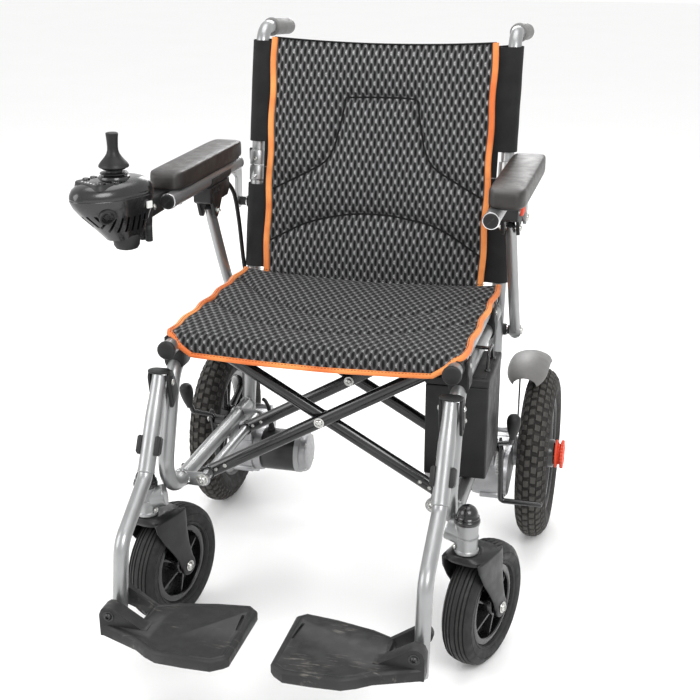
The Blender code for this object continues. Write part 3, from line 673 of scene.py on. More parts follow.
def solid(base, joins=(), cuts=(), bevel=0.0, voxel=0.0, smooth=0):
    """One closed body: shapes united and cut away, then edges softened or the whole remeshed."""
    made = [linked("tool", as_mesh("tool", bm)) for bm in (base, *joins, *cuts)]
    target = made[0]
    for i, tool in enumerate(made[1:]):
        change = target.modifiers.new("change", "BOOLEAN")
        change.operation = "UNION" if i < len(joins) else "DIFFERENCE"
        change.solver = "EXACT"
        change.object = tool
    if voxel:
        change = target.modifiers.new("voxels", "REMESH")
        change.voxel_size = voxel
    if smooth:
        change = target.modifiers.new("smooth", "SMOOTH")
        change.iterations = smooth
        change.factor = 0.5
    if bevel:
        change = target.modifiers.new("edges", "BEVEL")
        change.width = bevel
        change.segments = 3
        change.limit_method = "ANGLE"
        change.angle_limit = math.radians(EDGE_ANGLE)
    bpy.context.view_layer.update()
    result = bmesh.new()
    ready = target.evaluated_get(bpy.context.evaluated_depsgraph_get())
    result.from_mesh(ready.to_mesh())
    ready.to_mesh_clear()
    for tool in made:
        discard(tool)
    return result


def squared(value, power):
    """A sine or cosine pushed out towards 1, which squares up a circle."""
    return math.copysign(abs(value) ** power, value)


def discard(made):
    mesh = made.data
    bpy.data.objects.remove(made)
    bpy.data.meshes.remove(mesh)


def superoval(centre, half, power=0.7, count=48):
    """A level ring of points on a rounded rectangle."""
    return [Vector(centre) + Vector((squared(c, power) * half[0], squared(d, power) * half[1], 0.0))
        for c, d in circle(count)]


# ---- side frames ---------------------------------------------------------------------------------
def saddle(y, width):
    """Plastic cradle on the upper rail in which the seat rail rests."""
    outline = []
    for k in range(13):
        a = math.pi + math.pi * k / 12
        outline.append((SIDE_X + 0.0162 * math.cos(a), RAIL_Z + 0.0162 * math.sin(a)))
    outline += [(SIDE_X + 0.0162, 0.462), (0.2405, 0.47), (0.2408, 0.4885), (0.2368, 0.4895)]
    for k in range(11):
        a = math.radians(15 - 190 * k / 10)
        outline.append((SEAT_RAIL[0] + 0.0134 * math.cos(a), SEAT_RAIL[1] + 0.0134 * math.sin(a)))
    outline += [(SIDE_X - 0.0175, 0.4785), (SIDE_X - 0.018, 0.466)]
    return prism(outline, y, y + width, "Y", 0.0012, 2)


def side_frame(side):
    rear = [post_y(z) - TUBE_R * 0.9 for z in (RAIL_Z, LOW_RAIL_Z)]
    corners = [(SIDE_X, rear[0], RAIL_Z), (SIDE_X, *ELBOW), (SIDE_X, *LOW_BEND),
        (SIDE_X, rear[1], LOW_RAIL_Z)]
    shapes = [tube(rounded(corners, 0.05), TUBE_R, 28, up=X)]
    lug = hull([(SIDE_X, LOW_RAIL_Z, 0.0115), (PIVOT_X, LOW_RAIL_Z, 0.012)])
    for y in (SLEEVE_Y[0] - 0.0045, SLEEVE_Y[1] + 0.0005):
        shapes.append(prism(lug, y, y + 0.004, "Y", 0.0007, 2))
        shapes.append(weld((SIDE_X, y + 0.002, LOW_RAIL_Z), Y, TUBE_R - 0.0002, 0.003))
    for y, z in zip(rear, (RAIL_Z, LOW_RAIL_Z)):
        shapes.append(weld((SIDE_X, y - 0.0035, z), (0, 1, 0.2), TUBE_R))
    sided(side, "side_frame", shapes, "silver", "frame", "side_tube")
    ends = [((PIVOT_X, SLEEVE_Y[0] - 0.0045, LOW_RAIL_Z), (0, -1, 0)),
        ((PIVOT_X, SLEEVE_Y[1] + 0.0045, LOW_RAIL_Z), Y)]
    bolts = [bolt(*ends[0], 0.0068, 0.005), hex_nut(*ends[1], 0.0062, 0.0055)]
    sided(side, "pivot_bolts", bolts, "zinc", "frame")
    cradles = [saddle(-0.453, 0.03), saddle(-0.185, 0.03)]
    sided(side, "rail_saddles", cradles, "plastic", "frame")
    screws = [bolt((0.2408, y, 0.479), X, 0.003, 0.0022) for y in (-0.438, -0.17)]
    sided(side, "saddle_screws", screws, "zinc", "frame")


def post_point(z):
    return (POST_X, post_y(z), z)


def rear_post(side):
    shapes = [tube([post_point(POST_FOOT_Z - 0.003), post_point(FOLD_Z - 0.024)], TUBE_R, 28, up=X)]
    collar = [(0.0125, -0.028), (0.0142, -0.0265), (0.0146, -0.025), (0.0146, -0.004), (0.014, -0.002),
        (0.014, 0.0), (0.0115, 0.0)]
    shapes.append(turned(collar, post_point(FOLD_Z), (0, POST_LEAN, 1), 36))
    sided(side, "post_tube", shapes, "silver", "frame", "rear_post")
    rivet = bolt((POST_X, post_y(0.66) - 0.0146, 0.66), (0, -1, 0), 0.0026, 0.0016, False)
    standoffs, rings = [], []
    for (y, z), reach in ((ARM_PIVOT, 0.2612), (STRUT_FOOT, ARM_X - STRUT_R)):
        start = POST_X + 0.01
        neck = [(0.01, 0.0), (0.0105, 0.0005), (0.0105, 0.007), (0.008, 0.008), (0.008, reach - start)]
        standoffs.append(turned(neck, (start, y, z), X, 28))
        rings.append(turned([(0.0084, 0.0), (0.0108, 0.0004), (0.0108, 0.002), (0.0084, 0.0024)],
            (start + 0.0082, y, z), X, 28))
    sided(side, "standoffs", standoffs, "plastic", "frame")
    sided(side, "standoff_rings", [*rings, rivet], "bright", "frame")


def fold_lever():
    """Release lever of the back's folding joint, behind the post."""
    y, z = post_y(FOLD_Z) + 0.0165, FOLD_Z + 0.003
    ear = hull([(y, z, 0.0065), (y - 0.0075, z + 0.01, 0.007), (y - 0.0105, z + 0.024, 0.0035)])
    return prism(ear, POST_X + 0.012, POST_X + 0.0165, "X", 0.001, 2)


def upper_post(side):
    top_y = BACK_TOP[1] - 0.004
    corners = [post_point(FOLD_Z + 0.026), (POST_X, *BACK_TOP), (POST_X, GRIP_Y[0] + 0.006, top_y)]
    shapes = [tube(rounded(corners, 0.034), TUBE_R - 0.001, 28, up=X)]
    collar = [(0.0112, 0.0008), (0.014, 0.001), (0.0146, 0.003), (0.0146, 0.025), (0.0138, 0.027),
        (0.0112, 0.028)]
    shapes.append(turned(collar, post_point(FOLD_Z), (0, POST_LEAN, 1), 36))
    sided(side, "upper_post_tube", shapes, "silver", "back", "upper_post")
    sided(side, "fold_catch", [fold_lever()], "plastic", "back")
    pin = bolt((POST_X + 0.0165, post_y(FOLD_Z) + 0.0165, FOLD_Z + 0.003), X, 0.0034, 0.0022)
    head = bolt((POST_X, post_y(0.69) - 0.0144, 0.69), (0, -1, 0), 0.003, 0.0018, False)
    sided(side, "fold_pin", [pin, head], "zinc", "back")


def push_grip(side):
    """Rubber handle with a flared collar, finger ridges and a domed end."""
    z = BACK_TOP[1] - 0.004
    profile = [(0.0122, -0.001), (0.016, 0.0), (0.0168, 0.0015), (0.016, 0.0035), (0.014, 0.0055)]
    length = GRIP_Y[1] - GRIP_Y[0]
    for k in range(22):
        y = 0.008 + k * 0.0038
        profile += [(0.0142, y), (0.0149, y + 0.001), (0.0149, y + 0.0024), (0.0142, y + 0.0034)]
    profile += [(0.0142, length - 0.012), (0.015, length - 0.01), (0.015, length - 0.004),
        (0.0135, length - 0.001)]
    profile += [(0.009, length), (0.002, length + 0.0003)]
    shape = turned(profile, (POST_X, GRIP_Y[0], z), (0, 1, -0.075), 36)
    sided(side, "push_handle", [shape], "grip", "back", "push_grip", 50)


# ---- casters -------------------------------------------------------------------------------------
def caster_stem(side):
    x, y = CASTER_STEM
    barrel = [(0.015, 0.214), (0.018, 0.2142), (0.0184, 0.216), (0.0184, 0.219), (0.017, 0.2205),
        (0.017, 0.256), (0.018, 0.258), (0.0182, 0.2618), (0.015, 0.2622)]
    arm = solid(
        tube([(SIDE_X, y + 0.006, 0.247), (x, y, 0.24)], 0.0155, 20, (1.0, 1.15), up=Y),
        [turned([(0.0165, 0.216), (0.0165, 0.26)], (x, y, 0), Z, 40)], voxel=0.0013, smooth=5,
    )
    shapes = [turned(barrel, (x, y, 0), Z, 48), arm, weld((x, y, 0.24), Z, 0.0168, 0.0014)]
    sided(side, "caster_barrel", shapes, "silver", "frame", "caster_housing")
    cap = [(0.015, 0.2622), (0.0188, 0.2624), (0.0194, 0.264), (0.0194, 0.2672), (0.0182, 0.269),
        (0.0176, 0.2694), (0.0172, 0.27), (0.0182, 0.2712), (0.0182, 0.2722), (0.0166, 0.2738)]
    cap += [(0.016 * math.cos(a), 0.2745 + 0.0165 * math.sin(a)) for a in np.linspace(0.05, 1.5, 10)]
    shape = turned(cap, (x, y, 0), Z, 48)
    sided(side, "caster_dome", [shape], "gloss_plastic", "frame", "caster_cap")
    screw = bolt((x - 0.0172, y - 0.006, 0.2235), (-0.94, -0.33, 0), 0.003, 0.0024)
    sided(side, "barrel_screw", [screw], "zinc", "frame")


def fork_shape(stem):
    """Fork about its stem at x = 0: an arched crown that flows into two tapering legs."""
    crown = skin([superoval((0, stem + y, z), (wide, long), power, 40) for y, z, wide, long, power in (
        (0.02, 0.1995, 0.0342, 0.04, 0.62), (0.019, 0.205, 0.0345, 0.041, 0.66),
        (0.013, 0.2095, 0.03, 0.034, 0.8), (0.004, 0.213, 0.0225, 0.025, 0.95))])
    leg = ((0.03, 0.02, 0.206, 0.005, 0.04), (0.031, 0.022, 0.19, 0.0044, 0.0385),
        (0.0312, 0.03, 0.165, 0.004, 0.031), (0.0312, 0.042, 0.14, 0.0038, 0.023),
        (0.0312, 0.053, 0.118, 0.0036, 0.0185), (0.0312, 0.0595, 0.0995, 0.0036, 0.0165))
    axle = stem + CASTER_TRAIL
    parts = [turned([(0.0205, 0.205), (0.02, 0.2105), (0.0185, 0.2134)], (0, stem, 0), Z, 40)]
    for t in (1, -1):
        parts.append(skin([superoval((t * x, stem + y, z), (thick, deep), 0.75, 28)
            for x, y, z, thick, deep in leg]))
        parts.append(turned([(0.0165, 0), (0.0165, 0.0075)], (t * 0.0272, axle, CASTER_R), (t, 0, 0), 36))
    arch = turned([(0.103, -0.0265), (0.103, 0.0265)], (0, axle, CASTER_R), X, 64)
    return solid(crown, parts, [arch], voxel=0.0013, smooth=6)


def caster(side):
    """Fork and wheel, turned about the stem as the chair was left standing."""
    s = SIDES[side]
    x, y = CASTER_STEM
    turn = Matrix.Translation(Vector((s * x, y, 0))) @ Matrix.Rotation(-CASTER_YAW[side], 4, "Z")
    turn = turn @ Matrix.Translation(Vector((0, -y, 0)))
    swivel, roller = side + "_caster_swivel_part", side + "_caster_roller"
    add(side + "_fork", moved(fork_shape(y), turn), "fork", swivel, side + "_caster_fork",
        60)
    washers = turned([(0.0135, 0.2136), (0.0165, 0.21365), (0.0165, 0.2139), (0.0135, 0.2139)], (0, y, 0),
        Z, 40)
    ends = [bolt((t * 0.0352, y + CASTER_TRAIL, CASTER_R), (t, 0, 0), 0.0062, 0.0048) for t in (1, -1)]
    add(side + "_fork_bolts", moved(merged(washers, *ends), turn), "zinc", swivel)
    hub = Matrix.Translation(Vector((0, y + CASTER_TRAIL, CASTER_R)))
    add(side + "_caster_tyre", moved(caster_tyre(), turn @ hub), "solid_tyre", roller,
        sharp=28)
    add(side + "_caster_hub", moved(caster_hub(), turn @ hub), "gloss_plastic", roller,
        side + "_caster_wheel")


def caster_tyre():
    """Solid tyre with four running grooves and a ring on each wall."""
    half = [(0.0655, 0.0175), (0.067, 0.0212), (0.07, 0.0226), (0.0715, 0.0218), (0.073, 0.023),
        (0.078, 0.0246), (0.083, 0.0248), (0.0842, 0.0238), (0.0854, 0.0244), (0.089, 0.0232),
        (0.0925, 0.021), (0.095, 0.0185)]
    tread = []
    for x in (0.0165, 0.0105, 0.0045):
        r = 0.0995 - 0.0042 * (x / 0.0185) ** 2
        tread += [(r, x + 0.0014), (r - 0.0017, x + 0.0008), (r - 0.0017, x - 0.0008), (r, x - 0.0014)]
    half += [(0.0958, 0.018)] + tread + [(0.0995, 0.0014)]
    profile = half + [(r, -h) for r, h in reversed(half)] + [(0.064, -0.015), (0.064, 0.015)]
    return turned(profile, along=X, sides=96, loop=True)


def ring_of(count, piece, phase=0.0):
    """Copies of a shape about the X axis."""
    shapes = []
    for k in range(count):
        shapes.append(moved(piece(), Matrix.Rotation(2 * math.pi * k / count + phase, 4, "X")))
    return merged(*shapes)


def caster_hub():
    """Moulded rim: outer ring, a web set deep, six ribs on each face and the bearing boss."""
    rim = [(0.0655, 0.0176), (0.0632, 0.019), (0.056, 0.0186), (0.0545, 0.017), (0.053, 0.004)]
    rim += [(r, -h) for r, h in reversed(rim)]
    parts = [turned(rim, along=X, sides=72, loop=True)]
    parts.append(turned([(0.054, -0.0022), (0.054, 0.0022)], along=X, sides=48))
    boss = [(0.012, -0.0245), (0.015, -0.0235), (0.0165, -0.0215), (0.0175, 0), (0.0165, 0.0215),
        (0.015, 0.0235)]
    parts.append(turned(boss + [(0.012, 0.0245)], along=X, sides=40))

    def rib():
        outline = [(0.015, -0.0205), (0.0545, -0.015), (0.0545, 0.015), (0.015, 0.0205)]
        shape = skin([[(x, y, z) for z, x in outline] for y in (-0.0022, 0.0022)])
        return soften(shape, 0.0008, 2)
    parts.append(ring_of(6, rib))
    return merged(*parts)


# ---- rear wheels and drive -----------------------------------------------------------------------
def tyre_radius(x):
    """Outer radius of the tyre's carcass at a distance from its middle plane."""
    return 0.1545 - 0.0185 * min(1.0, abs(x) / 0.0262) ** 2.6


def tread_block(x0, x1, a0, a1, rise, lean=0.0):
    """One rubber block between two widths and two angles, its top edges drawn in."""
    rings = []
    for lift, inset in ((-0.002, 0.0), (rise * 0.7, 0.0003), (rise, 0.0009)):
        ring = []
        da = inset / DRIVE_R
        xs = [x0 + inset, (x0 + x1) / 2, x1 - inset]
        angles = [a0 + da, (a0 + a1) / 2, a1 - da]
        walk = [(xs[0], angles[0]), (xs[1], angles[0]), (xs[2], angles[0]), (xs[2], angles[1]),
            (xs[2], angles[2]), (xs[1], angles[2]), (xs[0], angles[2]), (xs[0], angles[1])]
        for x, a in walk:
            r = tyre_radius(x) + lift
            a += lean * (x - x0) / DRIVE_R
            ring.append((x, r * math.cos(a), r * math.sin(a)))
        rings.append(ring)
    return skin(rings)


def block_tyre():
    """Pneumatic tyre: carcass, two staggered rows of blocks and shoulder lugs that run down the walls."""
    half = [(0.1045, 0.0175), (0.106, 0.0205), (0.109, 0.0212), (0.1105, 0.0222), (0.116, 0.0256),
        (0.123, 0.0276), (0.13, 0.028), (0.1312, 0.0272), (0.1325, 0.0276)]
    half += [(tyre_radius(x), x) for x in (0.0264, 0.0252, 0.0235, 0.021, 0.0175, 0.013, 0.0075)]
    profile = half + [(tyre_radius(0), 0)] + [(r, -h) for r, h in reversed(half)]
    profile += [(0.103, -0.015), (0.103, 0.015)]
    shapes = [turned(profile, along=X, sides=112, loop=True)]
    count = 52
    step = 2 * math.pi / count
    for k in range(count):
        a = k * step
        for sign in (1, -1):
            shift = 0.5 * step if sign < 0 else 0
            pairs = [(0.0012, 0.0106, 0.62, 0.0034, 0.15), (0.0126, 0.0205, 0.55, 0.003, -0.2)]
            for inner, outer, share, rise, lean in pairs:
                x0, x1 = sorted((sign * inner, sign * outer))
                start = a + shift + (0.5 * step if inner > 0.01 else 0)
                shapes.append(tread_block(x0, x1, start, start + share * step, rise, lean * sign))
            x0, x1 = sorted((sign * 0.0215, sign * 0.0261))
            shapes.append(tread_block(x0, x1, a + shift, a + shift + 0.45 * step, 0.0026))
    return merged(*shapes)


def drive_spoke():
    """Double spoke that widens where it meets the rim."""
    shapes = []
    for t in (1, -1):
        rings = []
        for r, half_wide, half_deep, x, out in ((0.028, 0.0062, 0.008, 0.002, 0.0052),
                (0.05, 0.0046, 0.0068, 0.001, 0.0075), (0.074, 0.0044, 0.006, -0.001, 0.011),
                (0.0935, 0.0072, 0.007, -0.002, 0.0165)):
            rings.append(superoval((x, t * out, r), (half_deep, half_wide), 0.7, 20))
        shapes.append(skin(rings))
    return merged(*shapes)


def drive_wheel(side):
    s = SIDES[side]
    body = side + "_drive_wheel"
    hub = Matrix.Translation(Vector((s * DRIVE_X, 0, DRIVE_R))) @ Matrix.Diagonal((s, 1, 1, 1))

    def put(bm):
        bm = moved(bm, hub)
        if s < 0:
            bmesh.ops.reverse_faces(bm, faces=bm.faces)
        return bm
    add(side + "_block_tyre", put(block_tyre()), "tyre", body, side + "_drive_tyre", 30)
    rim = [(0.104, 0.017), (0.1, 0.0172), (0.0955, 0.015), (0.0925, 0.011), (0.0905, 0.004),
        (0.0905, -0.004), (0.0925, -0.013), (0.099, -0.0165), (0.104, -0.017)]
    parts = [turned(rim, along=X, sides=96, loop=True), ring_of(5, drive_spoke)]
    boss = [(0.025, -0.0275), (0.03, -0.0265), (0.0315, -0.016), (0.0315, 0.006), (0.03, 0.009),
        (0.027, 0.015), (0.0262, 0.026), (0.0245, 0.0285), (0.018, 0.0296)]
    parts.append(turned(boss, along=X, sides=56))
    add(side + "_spoked_rim", put(merged(*parts)), "gloss_paint", body, side + "_drive_rim")
    lips = []
    for t in (1, -1):
        lip = [(0.1052, 0.0166), (0.1068, 0.0196), (0.1058, 0.0212), (0.1036, 0.0208), (0.1012, 0.018),
            (0.102, 0.016)]
        lips.append(turned([(r, t * h) for r, h in lip], along=X, sides=96, loop=True))
    valve = tube([(0.004, 0.012, -0.089), (0.01, 0.011, -0.078), (0.0105, 0.0108, -0.07)], 0.0026, 14,
        ends=0.001)
    add(side + "_rim_lips", put(merged(*lips)), "satin_paint", body)
    add(side + "_valve", put(valve), "plastic", body)
    bolts = ring_of(5, lambda: hex_nut((0.0095, 0, 0.0285), X, 0.0036, 0.0035), 0.63)
    add(side + "_rim_bolts", put(bolts), "zinc", body)
    clutch_knob(side, put)


def clutch_knob(side, put):
    """Free-wheel knob: two flanges with a ribbed waist and a grip bar across its face."""
    rings = []
    for radius, height, depth in ((0.017, 0.0303, 0), (0.025, 0.0305, 0), (0.0262, 0.0318, 0),
            (0.0262, 0.035, 0), (0.024, 0.0362, 0), (0.0195, 0.0368, 0.001), (0.0195, 0.0398, 0.001),
            (0.0245, 0.0406, 0.0016), (0.0265, 0.0416, 0.0022), (0.0265, 0.0456, 0.0022),
            (0.025, 0.0468, 0.0016), (0.02, 0.047, 0), (0.019, 0.0458, 0), (0.006, 0.0456, 0)):
        ring = []
        for k in range(96):
            a = 2 * math.pi * k / 96
            r = radius - depth * (0.5 + 0.5 * math.cos(24 * a)) ** 2
            ring.append((height, r * math.cos(a), r * math.sin(a)))
        rings.append(ring)
    bar = soften(skin([[(x, y, z) for y, z in ((-0.017, -0.0032), (0.017, -0.0032), (0.017, 0.0032),
        (-0.017, 0.0032))] for x in (0.045, 0.0474)]), 0.0012, 3)
    knob = merged(skin(rings), bar)
    add(side + "_clutch_dial", put(knob), "orange_plastic", side + "_clutch_knob", side + "_hub_knob")


def drive_unit(side):
    """Cast gearbox with its cover, bolts and ribs; motor can with end caps; cable gland."""
    outline = hull([(*MOTOR_AXIS, 0.046), (0, DRIVE_R, 0.034)], 48)
    cover = hull([(*MOTOR_AXIS, 0.04), (0, DRIVE_R, 0.028)], 48)
    foot = post_y(POST_FOOT_Z)
    seat = block((0.217, foot - 0.019, 0.172), (0.242, foot + 0.022, 0.2125), 0.004)
    collar = turned([(0.0168, -0.008), (0.0168, 0.004), (0.0145, 0.0065)], post_point(0.214),
        (0, POST_LEAN, 1), 36)
    base = prism(outline, 0.2168, 0.256, "X")
    shell = solid(base, [seat, prism(cover, 0.255, 0.264, "X")], bevel=0.0025)
    ears, bolts = [], []
    for k in range(7):
        a = math.radians(75 + 49 * k)
        centre, reach = (MOTOR_AXIS, 0.045) if math.cos(a - 1.9) < 0.25 or k > 2 else ((0, DRIVE_R),
            0.034)
        y, z = centre[0] + reach * math.cos(a), centre[1] + reach * math.sin(a)
        ears.append(turned([(0.0062, 0.0), (0.0066, 0.001), (0.0066, 0.0385), (0.006, 0.0395)],
            (0.217, y, z), X, 20))
        bolts.append(bolt((0.2565, y, z), X, 0.0036, 0.0034))
    hub = turned([(0.03, 0.256), (0.029, 0.27), (0.024, 0.274), (0.015, 0.2745)], (0, 0, DRIVE_R), X, 44)
    casting = merged(shell, collar, hub, *ears)
    sided(side, "gear_case", [casting], "cast", "frame", "gearbox")
    sided(side, "gear_bolts", bolts, "zinc", "frame")
    near, far = 0.113, 0.2165
    y, z = MOTOR_AXIS
    can = [(0.0385, near + 0.024), (0.0392, near + 0.0252), (0.0392, far - 0.016), (0.0385, far - 0.015)]
    sided(side, "motor_can", [turned(can, (0, y, z), X, 64)], "satin_paint", "frame", "motor")
    cap = [(0.012, near), (0.029, near + 0.0003), (0.0345, near + 0.002), (0.0368, near + 0.0055),
        (0.0375, near + 0.008), (0.0375, near + 0.013), (0.0398, near + 0.0145), (0.04, near + 0.0235),
        (0.038, near + 0.0245)]
    flange = [(0.038, far - 0.0155), (0.0415, far - 0.0145), (0.043, far - 0.006), (0.043, far),
        (0.03, far)]
    ends = [turned(cap, (0, y, z), X, 64), turned(flange, (0, y, z), X, 64)]
    sided(side, "motor_ends", ends, "cast", "frame")
    screws = []
    for k in range(4):
        a = math.radians(45 + 90 * k)
        spot = (near + 0.0035, y + 0.0325 * math.cos(a), z + 0.0325 * math.sin(a))
        screws.append(bolt(spot, (-1, 0, 0), 0.003, 0.0026))
    sided(side, "motor_screws", screws, "zinc", "frame")
    gland = turned([(0.008, 0), (0.008, 0.005), (0.0062, 0.006), (0.0058, 0.013), (0.0048, 0.014)],
        (0.19, y, z + 0.037), Z, 6)
    lead = smooth_path([(0.19, y, z + 0.048), (0.191, y + 0.001, z + 0.062), (0.198, y + 0.01, z + 0.078),
        (0.207, y + 0.02, z + 0.0865), (0.2135, y + 0.0255, z + 0.0885)])
    sided(side, "motor_lead", [soften(gland, 0.0006, 1), tube(lead, 0.0036, 16)], "plastic", "frame")


def fender(side):
    """Moulded mudguard with rolled edges, on a bent steel stay."""
    rings = []
    middle, half = (FENDER_X[0] + FENDER_X[1]) / 2 + 0.001, (FENDER_X[1] - FENDER_X[0]) / 2 + 0.004
    stations = np.linspace(*(math.radians(a) for a in FENDER_TURN), 33)
    for i, a in enumerate(stations):
        t = i / (len(stations) - 1)
        narrow = 1 - 0.42 * abs(2 * t - 1) ** 5
        top, under = [], []
        for u in np.linspace(-1, 1, 17):
            crown = 0.0125 * (1 - abs(u) ** 2.2)
            lip = 0.005 * max(0.0, (abs(u) - 0.86) / 0.14)
            r = FENDER_R + crown - lip
            ray = Vector((0, math.cos(a), math.sin(a)))
            x = middle + half * narrow * u
            top.append(Vector((x, 0, DRIVE_R)) + ray * r)
            under.append(Vector((x, 0, DRIVE_R)) + ray * (r - FENDER_SKIN))
        rings.append(top + under[::-1])
    shell = soften(skin(rings), 0.0007, 2, 50)
    sided(side, "mudguard", [shell], "grey_plastic", "frame", "fender")
    stay = [(0.2655, -0.004, 0.192), (0.268, -0.005, 0.23), (0.2685, -0.006, 0.32),
        (0.272, -0.006, 0.3385), (0.294, -0.006, 0.3405)]
    strap = tube(rounded(stay, 0.01, 6), 0.009, 16, (1.0, 0.16), up=Y)
    sided(side, "guard_stay", [strap], "satin_paint", "frame")
    heads = [bolt((0.267, -0.004, z), X, 0.0032, 0.0024) for z in (0.2, 0.215)]
    sided(side, "guard_screws", heads, "zinc", "frame")


def brake(side):
    """Parking brake: moulded handle, cranked rod, linkage plates and the bar that bears on the tyre."""
    x = BRAKE_X
    rod = rounded([(0.288, -0.252, 0.308), (0.284, -0.24, 0.275), (x, -0.212, 0.26), (x, *BRAKE_PIVOT)],
        0.009, 6)
    bar = rounded([(x, *BRAKE_PIVOT), (x, -0.178, 0.136), (0.336, -0.178, 0.136)], 0.008, 8)
    plate = prism(hull([(-0.195, 0.245, 0.0095), (-0.206, 0.262, 0.006), (-0.183, 0.18, 0.0065)]),
        x - 0.0022, x + 0.0022, "X", 0.0007, 2)
    boss = turned([(0.008, 0.0), (0.0085, 0.0006), (0.0085, 0.018), (0.007, 0.019)],
        (SIDE_X + TUBE_R + 0.0006, *BRAKE_PIVOT), X, 28)
    metalwork = merged(tube(rod, 0.0043, 16), tube(bar, 0.0048, 16, ends=0.003), plate, boss)
    sided(side, "brake_linkage", [metalwork], "gloss_paint", "brake", "brake_lever")
    knob = [(0.004, -0.019), (0.006, -0.0185), (0.0066, -0.015), (0.0085, -0.01), (0.0108, -0.003),
        (0.0126, 0.005), (0.0137, 0.012), (0.0138, 0.0175), (0.0126, 0.023), (0.01, 0.0268),
        (0.006, 0.0288), (0.0015, 0.0293)]
    slim = [(r * 0.86, h - 0.004) for r, h in knob]
    handle = turned(slim, (0.288, -0.252, 0.308), (0.05, -0.25, 1), 36)
    sided(side, "brake_handle", [handle], "plastic", "brake")
    ends = [bolt((x + 0.008, *BRAKE_PIVOT), X, 0.0042, 0.0034)]
    spring = [(x - 0.005 + 0.0032 * math.cos(a), -0.187 + 0.0032 * math.sin(a), 0.19 + 0.045 * a / 75)
        for a in np.arange(0, 75, 0.5)]
    ends.append(tube(spring, 0.0007, 6))
    sided(side, "brake_bolts", ends, "zinc", "brake")


# ---- armrests ------------------------------------------------------------------------------------
def arm_pad(side):
    """Moulded polyurethane pad: crowned top, soft vertical sides and a seam under the edge."""
    x, y = (PAD_X[0] + PAD_X[1]) / 2, (PAD_Y[0] + PAD_Y[1]) / 2
    wide, long = (PAD_X[1] - PAD_X[0]) / 2, (PAD_Y[1] - PAD_Y[0]) / 2
    levels = [(0.955, 0.985, PAD_Z[0]), (0.985, 0.994, PAD_Z[0] + 0.0012), (1.0, 1.0, PAD_Z[0] + 0.004),
        (1.0, 1.0, PAD_Z[0] + 0.0185), (0.994, 0.998, PAD_Z[0] + 0.0215),
        (0.978, 0.994, PAD_Z[0] + 0.0242), (0.945, 0.985, PAD_Z[0] + 0.026),
        (0.85, 0.96, PAD_Z[0] + 0.0271), (0.5, 0.84, PAD_Z[0] + 0.0277)]
    rings = []
    for sx, sy, z in levels:
        ring = superoval((x, y, z), (wide * sx, long * sy), 0.22, 128)
        for p in ring:
            # the front end is rounder and dips a little
            nose = max(0.0, (y - p.y) / long - 0.86) / 0.14
            p.z -= 0.0035 * nose ** 2 if z > PAD_Z[0] + 0.01 else 0
            p.x = x + (p.x - x) * (1 - 0.16 * nose ** 2)
        rings.append(ring)
    shape = skin(rings)
    pad = sided(side, "armrest_pad", [shape], "pad", "arm", "arm_pad", 60)
    base = skin([superoval((x, y, z), (wide * k, long * 0.97), 0.35, 64)
        for z, k in ((PAD_Z[0] - 0.0032, 0.86), (PAD_Z[0] + 0.0006, 0.9))])
    sided(side, "pad_board", [base], "plastic", "arm")


def arm_rail(side):
    x, z = ARM_RAIL
    rail = tube([(x, ARM_RAIL_Y[0], z), (x, ARM_RAIL_Y[1], z)], TUBE_R, 32, up=X)
    ring = turned([(0.0112, 0), (0.0128, 0.0004), (0.0134, 0.002), (0.0134, 0.004), (0.0126, 0.0046)],
        (x, ARM_RAIL_Y[0] - 0.001, z), Y, 44)
    knee = (-0.014, 0.662, 0.013)
    bracket = solid(prism(hull([(-0.05, 0.6855, 0.0125), knee]), 0.262, 0.2675, "X"),
        [prism(hull([knee, (*ARM_PIVOT, 0.013)]), 0.262, 0.2675, "X")], bevel=0.0011)
    sided(side, "armrest_rail", [rail, bracket], "silver", "arm", "arm_rail")
    sided(side, "rail_ring", [ring], "bright", "arm")
    cap = turned([(0.0118, 0.004), (0.0118, -0.0012), (0.0112, -0.0022), (0.008, -0.0028),
        (0.006, -0.002), (0.001, -0.002)], (x, ARM_RAIL_Y[0], z), Y, 44)
    rear = turned([(0.0118, -0.004), (0.0118, 0.0012), (0.01, 0.0026), (0.001, 0.003)],
        (x, ARM_RAIL_Y[1], z), Y, 44)
    sided(side, "rail_caps", [cap, rear], "plastic", "arm")
    bolts = [bolt((0.2675, *ARM_PIVOT), X, 0.0066, 0.0046),
        bolt((0.2675, -0.042, 0.684), X, 0.0042, 0.0032)]
    bolts += [bolt((x, y, z - TUBE_R), (0, 0, -1), 0.003, 0.002) for y in (-0.33, -0.075)]
    sided(side, "arm_bolts", bolts, "zinc", "arm")


